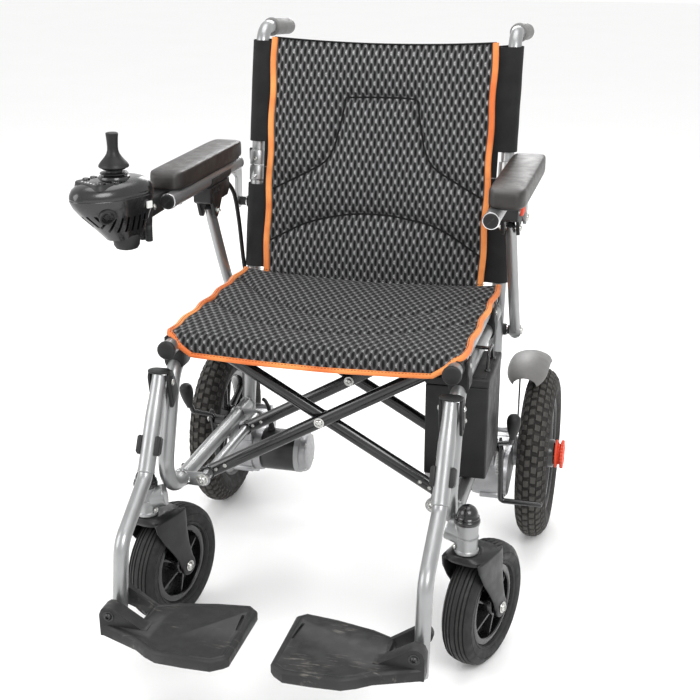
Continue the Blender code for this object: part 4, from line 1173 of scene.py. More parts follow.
def arm_latch(side):
    """Moulded latch block clamped under the rail, with two cheeks that straddle the strut."""
    top = ARM_RAIL[1] - TUBE_R - 0.0003
    profile = [(-0.215, 0.65), (-0.208, 0.6455), (-0.125, 0.6455), (-0.115, 0.656), (-0.115, top),
        (-0.215, top)]
    main = prism(profile, 0.2465, 0.2755, "X")
    cheek = hull([(-0.196, 0.655, 0.009), (-0.16, 0.655, 0.009), (-0.183, 0.6285, 0.0105)], 40)
    cheeks = [prism(cheek, x, x + 0.005, "X") for x in (0.246, 0.271)]
    y, z = BUTTON_AT
    pocket = block((0.268, y - 0.0126, z - 0.0086), (0.28, y + 0.0126, z + 0.0086), 0.002)
    rib_cuts = [block((0.244, -0.204 + 0.012 * k, 0.66), (0.248, -0.199 + 0.012 * k, 0.67), 0.0006, 1)
        for k in range(4)]
    shape = solid(main, cheeks, [pocket, *rib_cuts], bevel=0.0013)
    strap = prism([(ARM_RAIL[0] + 0.0142 * math.cos(a), ARM_RAIL[1] + 0.0142 * math.sin(a))
        for a in np.linspace(2.9, 6.5, 15)] + [(ARM_RAIL[0] + 0.0123 * math.cos(a),
        ARM_RAIL[1] + 0.0123 * math.sin(a)) for a in np.linspace(6.5, 2.9, 15)], -0.212, -0.118, "Y",
        0.0005, 1)
    sided(side, "latch_block", [shape, strap], "plastic", "arm", "arm_bracket")
    pins = [bolt((0.276, -0.184, 0.63), X, 0.0048, 0.0036),
        hex_nut((0.246, -0.184, 0.63), (-1, 0, 0), 0.0042, 0.004)]
    pins.append(bolt((0.2755, -0.205, 0.662), X, 0.0026, 0.002))
    sided(side, "latch_pins", pins, "zinc", "arm")
    button = block((0.2715, y - 0.0118, z - 0.0078), (0.2806, y + 0.0118, z + 0.0078), 0.0022, 3)
    ribs = [block((0.28, y - 0.007 + 0.0046 * k, z - 0.005), (0.2812, y - 0.005 + 0.0046 * k, z + 0.005),
        0.0004, 1) for k in range(4)]
    sided(side, "release_button", [button, *ribs], "orange_plastic", "arm_latch", "latch_button")


def arm_strut(side):
    """Slightly bowed tube, pressed flat at its upper end, on a bolt through the lower standoff."""
    foot, top = Vector((ARM_X, *STRUT_FOOT)), Vector((ARM_X, *STRUT_TOP))
    ahead = (top - foot).normalized()
    bow = Vector((0, ahead.z, -ahead.y))
    path = []
    for t in np.linspace(-0.045, 1.03, 28):
        path.append(foot + (top - foot) * t - bow * STRUT_BOW * math.sin(math.pi * min(max(t, 0), 1)))

    def section(t):
        flat = max(0.0, (t - 0.9) / 0.1)
        return 1 - 0.32 * flat, 1 + 0.12 * flat
    rod = tube(path, STRUT_R, 28, up=X, shape=section)
    eye = turned([(0.006, 0), (0.0108, 0.0004), (0.0112, 0.002), (0.0112, 2 * STRUT_R - 0.002),
        (0.0108, 2 * STRUT_R - 0.0004)], (ARM_X - STRUT_R, *STRUT_FOOT), X, 36)
    sided(side, "strut_tube", [rod, eye], "silver", "arm_prop", "arm_strut")
    ends = [bolt((ARM_X + STRUT_R, *STRUT_FOOT), X, 0.0062, 0.0046)]
    ends.append(turned([(0.0042, 0), (0.0044, 0.0162), (0.003, 0.017)], (ARM_X - 0.0081, -0.1775, 0.629),
        X, 20))
    sided(side, "strut_bolts", ends, "zinc", "arm_prop")


# ---- leg rests -----------------------------------------------------------------------------------
def leg_rest(side):
    points = [(SIDE_X, y, z) for y, z in HANGER]
    full = rounded(points, 0.04, 12)
    bend = next(i for i, p in enumerate(full) if p.z < 0.318)

    def section(t):
        swell = min(1.0, max(0.0, (t - 0.18) / 0.26))
        swell = swell * swell * (3 - 2 * swell)
        return 0.98 + 0.15 * swell, 0.96 + 0.16 * swell
    sleeve = full[:bend + 1]
    dense = [sleeve[0].lerp(sleeve[1], k / 12) for k in range(12)] + sleeve[1:]
    wide = tube(dense, 0.0115, 32, up=X, shape=section)
    thin = tube(full[bend - 1:], 0.0113, 32, up=X, ends=0.002)
    sided(side, "hanger_tube", [wide, thin], "silver", "legrest", "hanger")
    ahead = (full[bend] - full[bend - 1]).normalized()
    seam = turned([(0.0116, -0.002), (0.0134, -0.0015), (0.0136, 0.0), (0.0132, 0.0014), (0.0116, 0.002)],
        full[bend], ahead, 40)
    sided(side, "hanger_seam", [seam], "silver", "legrest")
    pads = []
    spot = Vector(points[0]).lerp(Vector(points[1]), 0.69)
    lean = Matrix.Translation(spot) @ frame_of((Vector(points[1]) - Vector(points[0])))
    for t in (1, -1):
        pad = prism([(0.0112, -0.0135), (0.015, -0.015), (0.0186, -0.012), (0.0186, 0.011),
            (0.015, 0.015), (0.0112, 0.015)], -0.006, 0.0085, "Y", 0.0012, 2)
        pads.append(moved(mirrored(pad, t), lean))
    sided(side, "hanger_pads", pads, "plastic", "legrest")
    hanger_latch(side)


def hanger_latch(side):
    """Two rounded cheeks over the hanger and the front upright, joined by a thin cap."""
    outline = hull([(-0.508, 0.444, 0.0115), (-0.49, 0.413, 0.008), (-0.506, 0.4, 0.006)], 48)
    raised = hull([(-0.507, 0.439, 0.007), (-0.493, 0.415, 0.005), (-0.504, 0.406, 0.0035)], 32)
    cheeks = []
    for inward in (-1, 1):
        low, high = sorted((SIDE_X + inward * 0.0128, SIDE_X + inward * 0.0176))
        cheeks.append(prism(outline, low, high, "X", 0.0014, 3))
        face = high if inward > 0 else low
        cheeks.append(prism(raised, face - 0.001, face + 0.001, "X", 0.0007, 2))
    cap = prism(hull([(SIDE_X - 0.006, -0.513, 0.0118), (SIDE_X + 0.006, -0.513, 0.0118)], 40), 0.4535,
        0.4565, "Z", 0.0008, 2)
    sided(side, "latch_cheeks", [cap, *cheeks], "plastic", "legrest", "hanger_bracket")
    heads = [bolt((SIDE_X + d * 0.0184, -0.506, 0.436), (d, 0, 0), 0.0034, 0.0028) for d in (1, -1)]
    heads.append(bolt((SIDE_X + 0.0184, -0.493, 0.413), X, 0.0026, 0.0022))
    sided(side, "cheek_bolts", heads, "zinc", "legrest")


def foot_plate(side):
    """Plate with a bevelled rim, a sunken tread, a slot by its inner edge and two gusseted cheeks."""
    outline = [(0.03, -0.778), (0.036, -0.786), (0.052, -0.7975), (0.093, -0.798), (0.134, -0.796),
        (0.154, -0.786), (0.172, -0.773), (0.238, -0.746), (0.238, -0.723), (0.185, -0.723),
        (0.185, -0.676), (0.15, -0.66), (0.093, -0.647), (0.044, -0.641), (0.0295, -0.654)]
    low, high = FOOT_Z
    rings = [[(u, v, z) for u, v in shrink(outline, by)]
        for by, z in ((0.004, low), (0.0008, low + 0.001), (0.0, low + 0.003), (0.0, high - 0.0045),
        (0.0012, high - 0.0022), (0.0042, high), (0.0075, high), (0.0088, high - 0.0009),
        (0.012, high - 0.001))]
    slot = prism([(0.0395, -0.712), (0.044, -0.712), (0.048, -0.67), (0.0435, -0.67)], high - 0.006,
        high + 0.003, "Z")
    gusset = [(0.166, low), (0.238, low), (0.2385, 0.164), (0.235, 0.1725), (0.229, 0.1768),
        (0.221, 0.1772), (0.215, 0.174), (0.174, high), (0.166, high)]
    slender = hull([(0.172, 0.137, 0.006), (*FOOT_HINGE, 0.014)], 40)
    gussets = [prism(shape, *span, "Y") for shape, span in zip((gusset, slender), FOOT_CHEEKS)]
    shape = solid(skin(rings), gussets, [slot], bevel=0.0011)
    sole = []
    for k in range(9):
        x = 0.05 + 0.0145 * k
        sole.append(block((x, -0.782 + 0.03 * abs(k - 4) / 4, low - 0.0008),
            (x + 0.003, -0.672, low + 0.001), 0.0006, 1))
    sided(side, "foot_plate", [shape, *sole], "foot", "foot_support", "footplate")
    pins = [bolt((FOOT_HINGE[0], FOOT_CHEEKS[0][0], FOOT_HINGE[1]), (0, -1, 0), 0.0056, 0.0042)]
    pins.append(hex_nut((FOOT_HINGE[0], FOOT_CHEEKS[1][1], FOOT_HINGE[1]), Y, 0.005, 0.0045))
    sided(side, "foot_bolts", pins, "satin_paint", "foot_support")


# ---- cross brace and seat rails ------------------------------------------------------------------
def brace(name, s, step, body, node):
    """Two oval bars on one sleeve with zinc rivets; s is the side of the seat rail it carries."""
    foot = Vector((-s * PIVOT_X, 0, LOW_RAIL_Z))
    head = Vector((s * SEAT_RAIL[0], 0, SEAT_RAIL[1]))
    ahead = (head - foot).normalized()
    up = Vector((-ahead.z, 0, ahead.x)) * s
    sleeve = turned([(0.006, SLEEVE_Y[0]), (0.0085, SLEEVE_Y[0]), (0.0085, SLEEVE_Y[1]),
        (0.006, SLEEVE_Y[1])], (foot.x, 0, foot.z), Y, 32)
    add(name + "_sleeve", sleeve, "silver", body)
    bars, rivets = [], []
    for y in BRACE_Y:
        shift = Vector((0, y + step, 0))
        ends = [foot + shift - ahead * 0.004, foot + shift + ahead * 0.02, head + shift - ahead * 0.03,
            head + shift - ahead * (TUBE_R - 0.001)]
        bars.append(tube(ends, 0.011, 32, (1.0, 0.77), up=tuple(up)))
        plug = tube([foot + shift - ahead * 0.0125, foot + shift - ahead * 0.0035], 0.01, 24, (1.0, 0.77),
            up=tuple(up), ends=0.002)
        bars.append(plug)
        bars.append(turned([(0.0105, -0.0085), (0.0112, -0.008), (0.0112, 0.008), (0.0105, 0.0085)],
            (foot.x, y + step, foot.z), Y, 32))
        for reach in (0.016, 0.034):
            spot = foot + shift + ahead * reach
            rivets.append(bolt((spot.x, y + step - 0.0084, spot.z), (0, -1, 0), 0.0022, 0.0014, False))
    centre = foot.lerp(head, PIVOT_X / (PIVOT_X + SEAT_RAIL[0]))
    for y in BRACE_Y:
        front = y + step - 0.0086 if step == 0 else y + step + 0.0086
        rivets.append(bolt((centre.x, front, centre.z), (0, -1 if step == 0 else 1, 0), 0.0058, 0.004))
        if step == 0:
            spacer = turned([(0.0068, 0.0), (0.0068, 0.0008)], (centre.x, y + 0.0087, centre.z), Y, 24)
            rivets.append(spacer)
    add(name + "_bars", merged(*bars), "gloss_paint", body, node)
    add(name + "_rivets", merged(*rivets), "zinc", body)


def seat_rail(side, s, body):
    x, z = SEAT_RAIL
    low, high = SEAT_RAIL_Y
    rail = tube([(x, low, z), (x, high, z)], TUBE_R, 32, up=X)
    add(side + "_seat_tube", placed(s, rail), "silver", body, side + "_seat_rail")
    caps = []
    for y, d in ((low, -1), (high, 1)):
        caps.append(turned([(0.0116, -0.01), (0.0116, 0.0), (0.014, 0.0004), (0.0148, 0.0022),
            (0.0146, 0.006), (0.0128, 0.0082), (0.006, 0.009), (0.0008, 0.0092)], (x, y - d * 0.0004, z),
            (0, d, 0), 40))
    for y in (-0.456, -0.13):
        caps.append(turned([(0.0124, -0.01), (0.0137, -0.0095), (0.0137, 0.0095), (0.0124, 0.01)],
            (x, y, z), Y, 40))
    add(side + "_seat_rail_caps", placed(s, *caps), "plastic", body)


# ---- seat and back slings ------------------------------------------------------------------------
def spread(value, width):
    """A smooth bump of unit height and given half width about zero."""
    t = min(1.0, abs(value) / width)
    return (1 - t * t) ** 2


def curve2(points):
    """A smooth flat curve through points."""
    return [(p.x, p.y) for p in smooth_path([(u, v, 0) for u, v in points])]


def cushioned(name, outline, thick, look, cap, spacing):
    """A padded panel: two faces over one outline, blown up by cloth simulation, its face towards +w."""
    half = thick / 2
    levels = ((0.0012, -half), (0.0, -half * 0.6), (0.0, half * 0.6), (0.0012, half))
    blank = skin([[(u, v, w) for u, v in shrink(outline, by)] for by, w in levels])
    made = linked(name, as_mesh(name, blank))
    remesh = made.modifiers.new("voxels", "REMESH")
    remesh.voxel_size = spacing
    bake(made)
    inflate(made, outline, cap)
    fine = made.modifiers.new("fine", "SUBSURF")
    fine.levels = 1
    fine.render_levels = 1
    bake(made)
    made.data.materials.clear()
    made.data.materials.append(LOOKS[look])
    return made


def shrink(outline, by):
    """The outline drawn in along its own normals."""
    ring = []
    count = len(outline)
    for i, (u, v) in enumerate(outline):
        a, b = outline[i - 1], outline[(i + 1) % count]
        du, dv = b[0] - a[0], b[1] - a[1]
        length = math.hypot(du, dv) or 1
        ring.append((u - dv / length * by, v + du / length * by))
    return ring


def bake(made):
    """Applies the modifiers."""
    bpy.context.view_layer.update()
    ready = made.evaluated_get(bpy.context.evaluated_depsgraph_get())
    mesh = bpy.data.meshes.new_from_object(ready)
    old = made.data
    made.modifiers.clear()
    made.data = mesh
    bpy.data.meshes.remove(old)


def inflate(made, outline, cap):
    """Cloth simulation under a little pressure, held at its edge, with every move capped."""
    rest = np.array([v.co for v in made.data.vertices])
    closed = list(outline) + [outline[0]]
    hold = made.vertex_groups.new(name="hold")
    held = distance_to(rest[:, :2], [closed]) < HELD_EDGE
    hold.add([int(i) for i in np.flatnonzero(held)], 1.0, "REPLACE")
    cloth = made.modifiers.new("cloth", "CLOTH")
    settings = cloth.settings
    settings.use_pressure = True
    settings.uniform_pressure_force = PRESSURE
    settings.vertex_group_mass = "hold"
    settings.effector_weights.gravity = 0.0
    settings.quality = 5
    settings.tension_stiffness = 12
    settings.compression_stiffness = 12
    cloth.point_cache.frame_start = 1
    cloth.point_cache.frame_end = CLOTH_FRAMES
    scene = bpy.context.scene
    for step in range(1, CLOTH_FRAMES + 1):
        scene.frame_set(step)
    ready = made.evaluated_get(bpy.context.evaluated_depsgraph_get())
    blown = np.array([v.co for v in ready.to_mesh().vertices])
    ready.to_mesh_clear()
    made.modifiers.clear()
    scene.frame_set(1)
    move = blown - rest
    size = np.linalg.norm(move, axis=1)
    keep = cap * np.tanh(size / cap) / np.maximum(size, 1e-9)
    made.data.vertices.foreach_set("co", (rest + move * keep[:, None]).ravel())


def distance_to(points, lines):
    """Distance of each flat point from the nearest of several polylines."""
    best = np.full(len(points), 1.0)
    for line in lines:
        line = np.array(line)
        for a, b in zip(line, line[1:]):
            ab = b - a
            t = np.clip(((points - a) @ ab) / max(ab @ ab, 1e-12), 0, 1)
            best = np.minimum(best, np.linalg.norm(points - (a + t[:, None] * ab), axis=1))
    return best


def press(made, channels, outline, sink, reach):
    """Pulls the face down along the sewn channels, steeply beside the thread, so it crowns between."""
    mesh = made.data
    co = np.array([v.co for v in mesh.vertices])
    seam = distance_to(co[:, :2], channels)
    edge = distance_to(co[:, :2], [list(outline) + [outline[0]]])
    fall = 0.55 * np.exp(-(seam / (reach * 0.45)) ** 1.5) + 0.45 * np.exp(-(seam / (reach * 2)) ** 1.5)
    fall += 0.22 * np.exp(-(edge / (reach * 1.4)) ** 1.6)
    upper = co[:, 2] > 0
    lowest = np.where(upper, CHANNEL_FLOOR + 0.001, CHANNEL_FLOOR)
    co[:, 2] = np.maximum(co[:, 2] - np.where(upper, sink * fall, 0), lowest)
    mesh.vertices.foreach_set("co", co.ravel())
    seats = []
    for line in channels:
        path = []
        for u, v in line:
            close = (np.abs(co[:, :2] - (u, v)) < 0.004).all(axis=1) & upper
            w = co[close, 2].min() if close.any() else CHANNEL_FLOOR + 0.001
            path.append((u, v, w))
        seats.append(path)
    return seats


def hang(made, place):
    """Carries a flat panel to where it hangs."""
    mesh = made.data
    co = np.array([v.co for v in mesh.vertices])
    done = np.array([place(*p) for p in co]) + np.array(AXLE)
    mesh.vertices.foreach_set("co", done.ravel())
    mesh.update()
    mesh.shade_smooth()


def seam_cords(seats, place, radius):
    """The sewing thread that lies in the channels."""
    return [tube([Vector(place(u, v, w + radius * 0.4)) for u, v, w in path], radius, 8)
        for path in seats]


def band(line, wide, thick, normal):
    """Bound edge: a flattened welt along a line of points, turned to face the way normal(point) says."""
    rings = []
    closed = (Vector(line[0]) - Vector(line[-1])).length < 1e-6
    pts = [Vector(p) for p in (line[:-1] if closed else line)]
    n = len(pts)
    for i, p in enumerate(pts):
        before = pts[(i - 1) % n] if closed else pts[max(i - 1, 0)]
        after = pts[(i + 1) % n] if closed else pts[min(i + 1, n - 1)]
        ahead = (after - before).normalized()
        up = Vector(normal(p)).normalized()
        up = (up - ahead * up.dot(ahead)).normalized()
        out = ahead.cross(up)
        rings.append([p + out * wide * squared(c, 0.8) + up * thick * squared(d, 0.8)
            for c, d in circle(16)])
    return skin(rings, loop=closed)


def seat_outline():
    """Flat cut of the seat, its front corners taken off in a curve; u across, v fore and aft."""
    w, front, back = SEAT_HALF - 0.001, SEAT_FRONT, SEAT_BACK
    corner = [(-w, front + 0.042), (-w + 0.003, front + 0.026), (-w + 0.012, front + 0.013),
        (-w + 0.026, front + 0.005), (-w + 0.044, front + 0.001)]
    steps = 44
    line = []
    for k in range(steps + 1):
        line.append((-w + 0.044 + (2 * w - 0.088) * k / steps,
            front + 0.001 * (1 - math.sin(math.pi * k / steps))))
    line += [(-u, v) for u, v in reversed(corner[:4])]
    line += [(w + 0.002 * math.sin(k * 0.9), front + 0.042 + (back - front - 0.048) * k / 26)
        for k in range(1, 27)]
    line += [(w - 0.006 - (2 * w - 0.012) * k / steps, back) for k in range(steps + 1)]
    line += [(-w + 0.002 * math.sin(k * 1.1), back - 0.006 - (back - front - 0.048) * k / 26)
        for k in range(26)]
    return line + corner[:4]


def seat_place(u, v, w):
    """Where a flat point of the seat hangs: dished between the rails, its front edge turned down."""
    across = max(0.0, 1 - (u / SEAT_HALF) ** 2)
    rear = 1 - 0.45 * spread(v + 0.47, 0.2)
    wrinkle = 0.0014 * noise.noise(Vector((u * 11, v * 17, 0))) * across
    z = SEAT_TOP - SEAT_SAG * across ** 0.8 * rear + wrinkle
    past = max(0.0, SEAT_FOLD - v)
    inside = min(1.0, max(0.0, (0.228 - abs(u)) / 0.04))
    inside = inside * inside * (3 - 2 * inside)
    turn = min(past / SEAT_TURN, 1.3) * (0.35 + 0.65 * inside)
    beyond = max(0.0, past - 1.3 * SEAT_TURN)
    y = max(v, SEAT_FOLD) - SEAT_TURN * math.sin(turn) - beyond * math.cos(turn)
    z -= SEAT_TURN * (1 - math.cos(turn)) + beyond * math.sin(turn)
    return u, y - w * math.sin(turn), z + w * math.cos(turn)


def back_place(u, v, w):
    """The back hangs between the posts, bowed to the rear; v runs up along the posts."""
    across = max(0.0, 1 - (u / BACK_HALF) ** 2)
    y = post_y(v) - BACK_AHEAD + BACK_BOW * across ** 0.9 * (0.85 + 0.15 * math.sin((v - 0.5) * 7)) - w
    y += 0.0012 * noise.noise(Vector((u * 11, v * 9, 3.0))) * across
    top = max(0.0, (v - 0.8) / 0.1)
    return u, y, v - 0.0075 * across * top ** 2


SEAT_LINES = [curve2([(-0.222, -0.135), (-0.165, -0.205), (-0.125, -0.237), (-0.072, -0.272),
    (-0.021, -0.29), (0.03, -0.29), (0.09, -0.268), (0.15, -0.228), (0.222, -0.16)]),
    curve2([(-0.226, -0.27), (-0.16, -0.33), (-0.08, -0.368), (0.0, -0.38), (0.08, -0.368), (0.16, -0.33),
    (0.226, -0.27)]),]


def back_lines():
    """Sewn channels: a keystone panel in the middle over a wide lower arc."""
    left = [(-0.065, 0.802), (-0.069, 0.776), (-0.0755, 0.745), (-0.084, 0.714), (-0.101, 0.688),
        (-0.143, 0.664), (-0.193, 0.639)]
    arc = [(-0.193, 0.548), (-0.137, 0.577), (-0.093, 0.591), (-0.045, 0.6), (0.0, 0.602), (0.045, 0.599),
        (0.116, 0.584), (0.193, 0.542)]
    top = [(-0.065, 0.802), (-0.03, 0.8035), (0.03, 0.8045), (0.062, 0.803)]
    return [curve2(top), curve2(left), curve2([(-u, v) for u, v in left]), curve2(arc)]


def rectangle(low, high, bottom, top, steps=40):
    line = [(low + (high - low) * k / steps, bottom) for k in range(steps + 1)]
    line += [(high, bottom + (top - bottom) * k / steps) for k in range(1, steps + 1)]
    line += [(high - (high - low) * k / steps, top) for k in range(1, steps + 1)]
    line += [(low, top - (top - bottom) * k / steps) for k in range(1, steps)]
    return line


def seat():
    outline = seat_outline()
    made = cushioned("seat_cloth", outline, SEAT_PLY, "seat_mesh", cap=0.0045, spacing=0.005)
    seats = press(made, SEAT_LINES, outline, sink=0.008, reach=0.011)
    hang(made, seat_place)
    # the binding runs round the sides and the front; the rear edge is hemmed
    line = [Vector(seat_place(u, v, -0.001)) for u, v in outline[BINDING[1]] + outline[BINDING[0]]]
    welt = make("seat_welt", band(line, 0.005, 0.0042, lambda p: Z), "piping")
    stitch = [Vector(seat_place(u, v, 0.0032)) for u, v in shrink(outline, 0.002)]
    thread = make("seat_stitches", dashes(stitch), "seam")
    cords = make("seat_seams", merged(*seam_cords(seats, seat_place, 0.0008)), "seam")
    for piece in (made, welt, thread, cords):
        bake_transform(piece)
    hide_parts("seat_sling")


def dashes(line):
    """Separate stitches along a line of points."""
    length, gap, radius = 0.003, 0.0022, 0.00045
    shapes = []
    run, at = 0.0, 0.0
    pts = [Vector(p) for p in line]
    for a, b in zip(pts, pts[1:]):
        step = (b - a).length
        while at < run + step:
            t = (at - run) / step if step else 0
            p = a.lerp(b, t)
            ahead = (b - a).normalized()
            shapes.append(tube([p, p + ahead * length * 0.5, p + ahead * length], radius, 5))
            at += length + gap
        run += step
    return merged(*shapes)


def cut_at(source, name, height, keep_above):
    """A copy of a panel cut off level at a height and closed there."""
    bm = bmesh.new()
    bm.from_mesh(source.data)
    geometry = bm.verts[:] + bm.edges[:] + bm.faces[:]
    cut = bmesh.ops.bisect_plane(bm, geom=geometry, plane_co=(0, 0, height), plane_no=Z,
        clear_inner=keep_above, clear_outer=not keep_above)
    rim = [e for e in cut["geom_cut"] if isinstance(e, bmesh.types.BMEdge)]
    bmesh.ops.triangle_fill(bm, edges=rim, use_beauty=True)
    bmesh.ops.recalc_face_normals(bm, faces=bm.faces)
    for face in bm.faces:
        face.smooth = True
    for edge in rim:
        edge.smooth = False
    mesh = as_mesh(name, bm)
    mesh.materials.clear()
    mesh.materials.append(source.data.materials[0])
    return linked(name, mesh)


def back_welts(low, high):
    """Orange binding down both sides of a panel."""
    shapes = []
    steps = 40
    for x in (-BACK_HALF, BACK_HALF):
        line = []
        for k in range(steps + 1):
            z = low + (high - low) * k / steps
            line.append(Vector(back_place(x + 0.001 * math.sin(z * 60) * (1 if x > 0 else -1), z,
                0.0012)))
        shapes.append(band(line, 0.0054, 0.0046, lambda p: (0, -1, 0.2)))
    return merged(*shapes)


def back_rest():
    """One padded back, cut at the fold into a lower panel and an upper one."""
    outline = rectangle(-BACK_HALF, BACK_HALF, *BACK_Z)
    whole = cushioned("back_cloth", outline, BACK_PLY, "back_mesh", cap=0.005, spacing=0.0048)
    seats = press(whole, back_lines(), outline, sink=0.013, reach=0.015)
    hang(whole, back_place)
    halves = (("lower_back", BACK_Z[0], FOLD_Z - BACK_SLIT, ("right_frame", "left_frame"),
        "back_sling_lower", seats[3:]), ("upper_back", FOLD_Z + BACK_SLIT, BACK_Z[1],
        ("right_back", "left_back"), "back_sling_upper", seats[:3]))
    for name, low, high, bodies, node, lines in halves:
        above = name == "upper_back"
        panel = cut_at(whole, name + "_cloth", low if above else high, above)
        with_it = [make(name + "_welt", back_welts(low, high), "piping")]
        with_it.append(make(name + "_seams", merged(*seam_cords(lines, back_place, 0.0016)), "seam"))
        edge = BACK_Z[1] if above else BACK_Z[0]
        hem = [Vector(back_place(-BACK_HALF + 2 * BACK_HALF * k / 60, edge, 0.0)) for k in range(61)]
        with_it.append(make(name + "_hem", band(hem, 0.0012, 0.0036, lambda p: (0, -1, 0.2)),
            "black_cloth"))
        for piece in (panel, *with_it):
            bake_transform(piece)
        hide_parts(node)
    discard(whole)
    for side, s in SIDES.items():
        for name, body, z0, z1 in (("_lower_sleeve", side + "_frame", *LOWER_SLEEVE),
                ("_upper_sleeve", side + "_back", *UPPER_SLEEVE)):
            inner = FOLD_Z - 0.0003 if z0 < FOLD_Z else FOLD_Z + 0.0003
            low, high = (z1, inner) if z0 < FOLD_Z else (inner, z0)
            flap = [(post_y(z) - y, z) for z, y in ((low, 0.0125), (low, 0.0105), (high, 0.0105),
                (high, 0.0125))]
            add(side + name + "_flap", placed(s, prism(flap, 0.19, 0.2125, "X")), "black_cloth", body)
            made = post_sleeve(side, s, name, body, z0, z1)


def post_sleeve(side, s, name, body, low, high):
    """Black cloth that wraps the post and runs in behind the panel's edge, open at both ends."""
    section = hull([(0.0, 0.0, 0.016), (-0.034, -0.01, 0.003), (-0.004, 0.0085, 0.013)], 32)
    rings = []
    levels = np.linspace(low, high, 19)
    for inside, zs in ((0.0, levels), (0.0011, levels[::-1])):
        for z in zs:
            ring = []
            for dx, dy in shrink(section, inside):
                soft = 1 + 0.035 * noise.noise(Vector((s * 3.0 + dx * 60, dy * 60, z * 26)))
                ring.append((POST_X + dx * soft, post_y(z) + dy * soft, z))
            rings.append(ring)
    return add(side + name, placed(s, skin(rings, loop=True)), "black_cloth", body, sharp=60)


# ---- battery and controller ----------------------------------------------------------------------
def battery():
    low, high = BATTERY
    x, y = (low[0] + high[0]) / 2, (low[1] + high[1]) / 2
    seam = high[2] - 0.014
    case = [block((low[0] + 0.001, low[1] + 0.001, low[2]), (high[0] - 0.001, high[1] - 0.001, seam),
        0.0035, 4)]
    case.append(block((low[0], low[1], seam - 0.0004), high, 0.003, 3))
    case.append(block((low[0] + 0.008, low[1] + 0.008, high[2] - 0.001),
        (high[0] - 0.008, high[1] - 0.008, high[2] + 0.0012), 0.001, 2))
    feet = [block((low[0] + 0.01, y + v, low[2] - 0.004), (high[0] - 0.01, y + v + 0.015, low[2] + 0.001),
        0.001, 1) for v in (-0.05, 0.035)]
    add("battery_box", merged(*case, *feet), "plastic", "left_frame", "battery_case")
    bail = []
    for bx in (high[0] - 0.01, high[0] - 0.07):
        route = rounded([(bx, y - 0.03, high[2] - 0.003), (bx, y - 0.021, 0.4625),
            (bx, y + 0.021, 0.4625), (bx, y + 0.03, high[2] - 0.003)], 0.008, 8)
        bail.append(tube(route, 0.0024, 14))
        for end in (-0.03, 0.03):
            bail.append(turned([(0.005, 0), (0.0052, 0.001), (0.0045, 0.005), (0.003, 0.006)],
                (bx, y + end, high[2] - 0.002), Z, 20))
    bail.append(tube([(high[0] - 0.07, y, 0.4625), (high[0] - 0.01, y, 0.4625)], 0.003, 14))
    add("battery_bail", merged(*bail), "gloss_paint", "left_frame")
    socket = turned([(0.011, 0), (0.0115, 0.001), (0.0115, 0.006), (0.0095, 0.0065), (0.0095, 0.002),
        (0.001, 0.002)], (x, high[1], low[2] + 0.035), Y, 32)
    add("battery_socket", socket, "gloss_plastic", "left_frame")


def on_controller(shape):
    """Carries a shape from the controller's own frame (nose to -y, lever at the origin) to its place."""
    return moved(shape, Matrix.Translation((*CONTROLLER_AT, 0)) @ Matrix.Rotation(CONTROLLER_TURN, 4,
        "Z"))


def hull_ring(sx, sy, z, back, power=0.72, count=80):
    """Level section of the controller: its nose drawn into a blunt bow."""
    ring = []
    for c, d in circle(count):
        y = squared(d, power) * CONTROLLER_HALF[1] * sy
        bow = max(0.0, -y / (CONTROLLER_HALF[1] * sy))
        x = squared(c, power) * CONTROLLER_HALF[0] * sx * (1 - 0.45 * bow ** 2)
        ring.append((x, y - 0.01 + back, z))
    return ring


def controller():
    levels = [(0.34, 0.28, 0.653, 0.02), (0.5, 0.4, 0.655, 0.019), (0.62, 0.5, 0.665, 0.0165),
        (0.76, 0.65, 0.68, 0.011), (0.88, 0.82, 0.696, 0.0055), (0.955, 0.94, 0.71, 0.0015),
        (0.985, 0.985, 0.7185, 0.0), (1.0, 1.0, 0.7222, 0.0), (0.99, 0.992, 0.7232, 0.0),
        (0.99, 0.992, 0.724, 0.0), (1.0, 1.0, 0.725, 0.0), (0.99, 0.99, 0.73, 0.0),
        (0.945, 0.95, 0.7365, 0.001), (0.84, 0.86, 0.742, 0.003), (0.68, 0.72, 0.7458, 0.006),
        (0.48, 0.52, 0.7475, 0.008)]
    cuts = []
    # slots low on both flanks, and a row across the underside of the nose
    for k in range(8):
        y = -0.038 + 0.0105 * k
        for side in (-1, 1):
            slit = block((-0.013, -0.0018, -0.012), (0.013, 0.0018, 0.012), 0.0006, 1)
            reach = 0.033 - 0.0085 * max(0.0, -y / 0.038) ** 2
            cuts.append(moved(slit, Matrix.Translation((side * reach, y, 0.683))))
    for k in range(5):
        slit = block((-0.0018, -0.012, -0.01), (0.0018, 0.01, 0.01), 0.0006, 1)
        cuts.append(moved(slit, Matrix.Translation((-0.02 + 0.01 * k, -0.05, 0.69))))
    body = solid(skin([hull_ring(*level) for level in levels]), (), cuts)
    base = [(0.001, 0.6376), (0.011, 0.6379), (0.0165, 0.64), (0.0195, 0.645), (0.0205, 0.653),
        (0.0205, 0.662)]
    bulge = turned(base, (0.006, 0.011, 0), Z, 48)
    add("controller_shell", on_controller(body), "gloss_plastic", "right_arm", "controller_body",
        32)
    add("controller_sump", on_controller(bulge), "plastic", "right_arm")
    controller_top()
    controller_under()


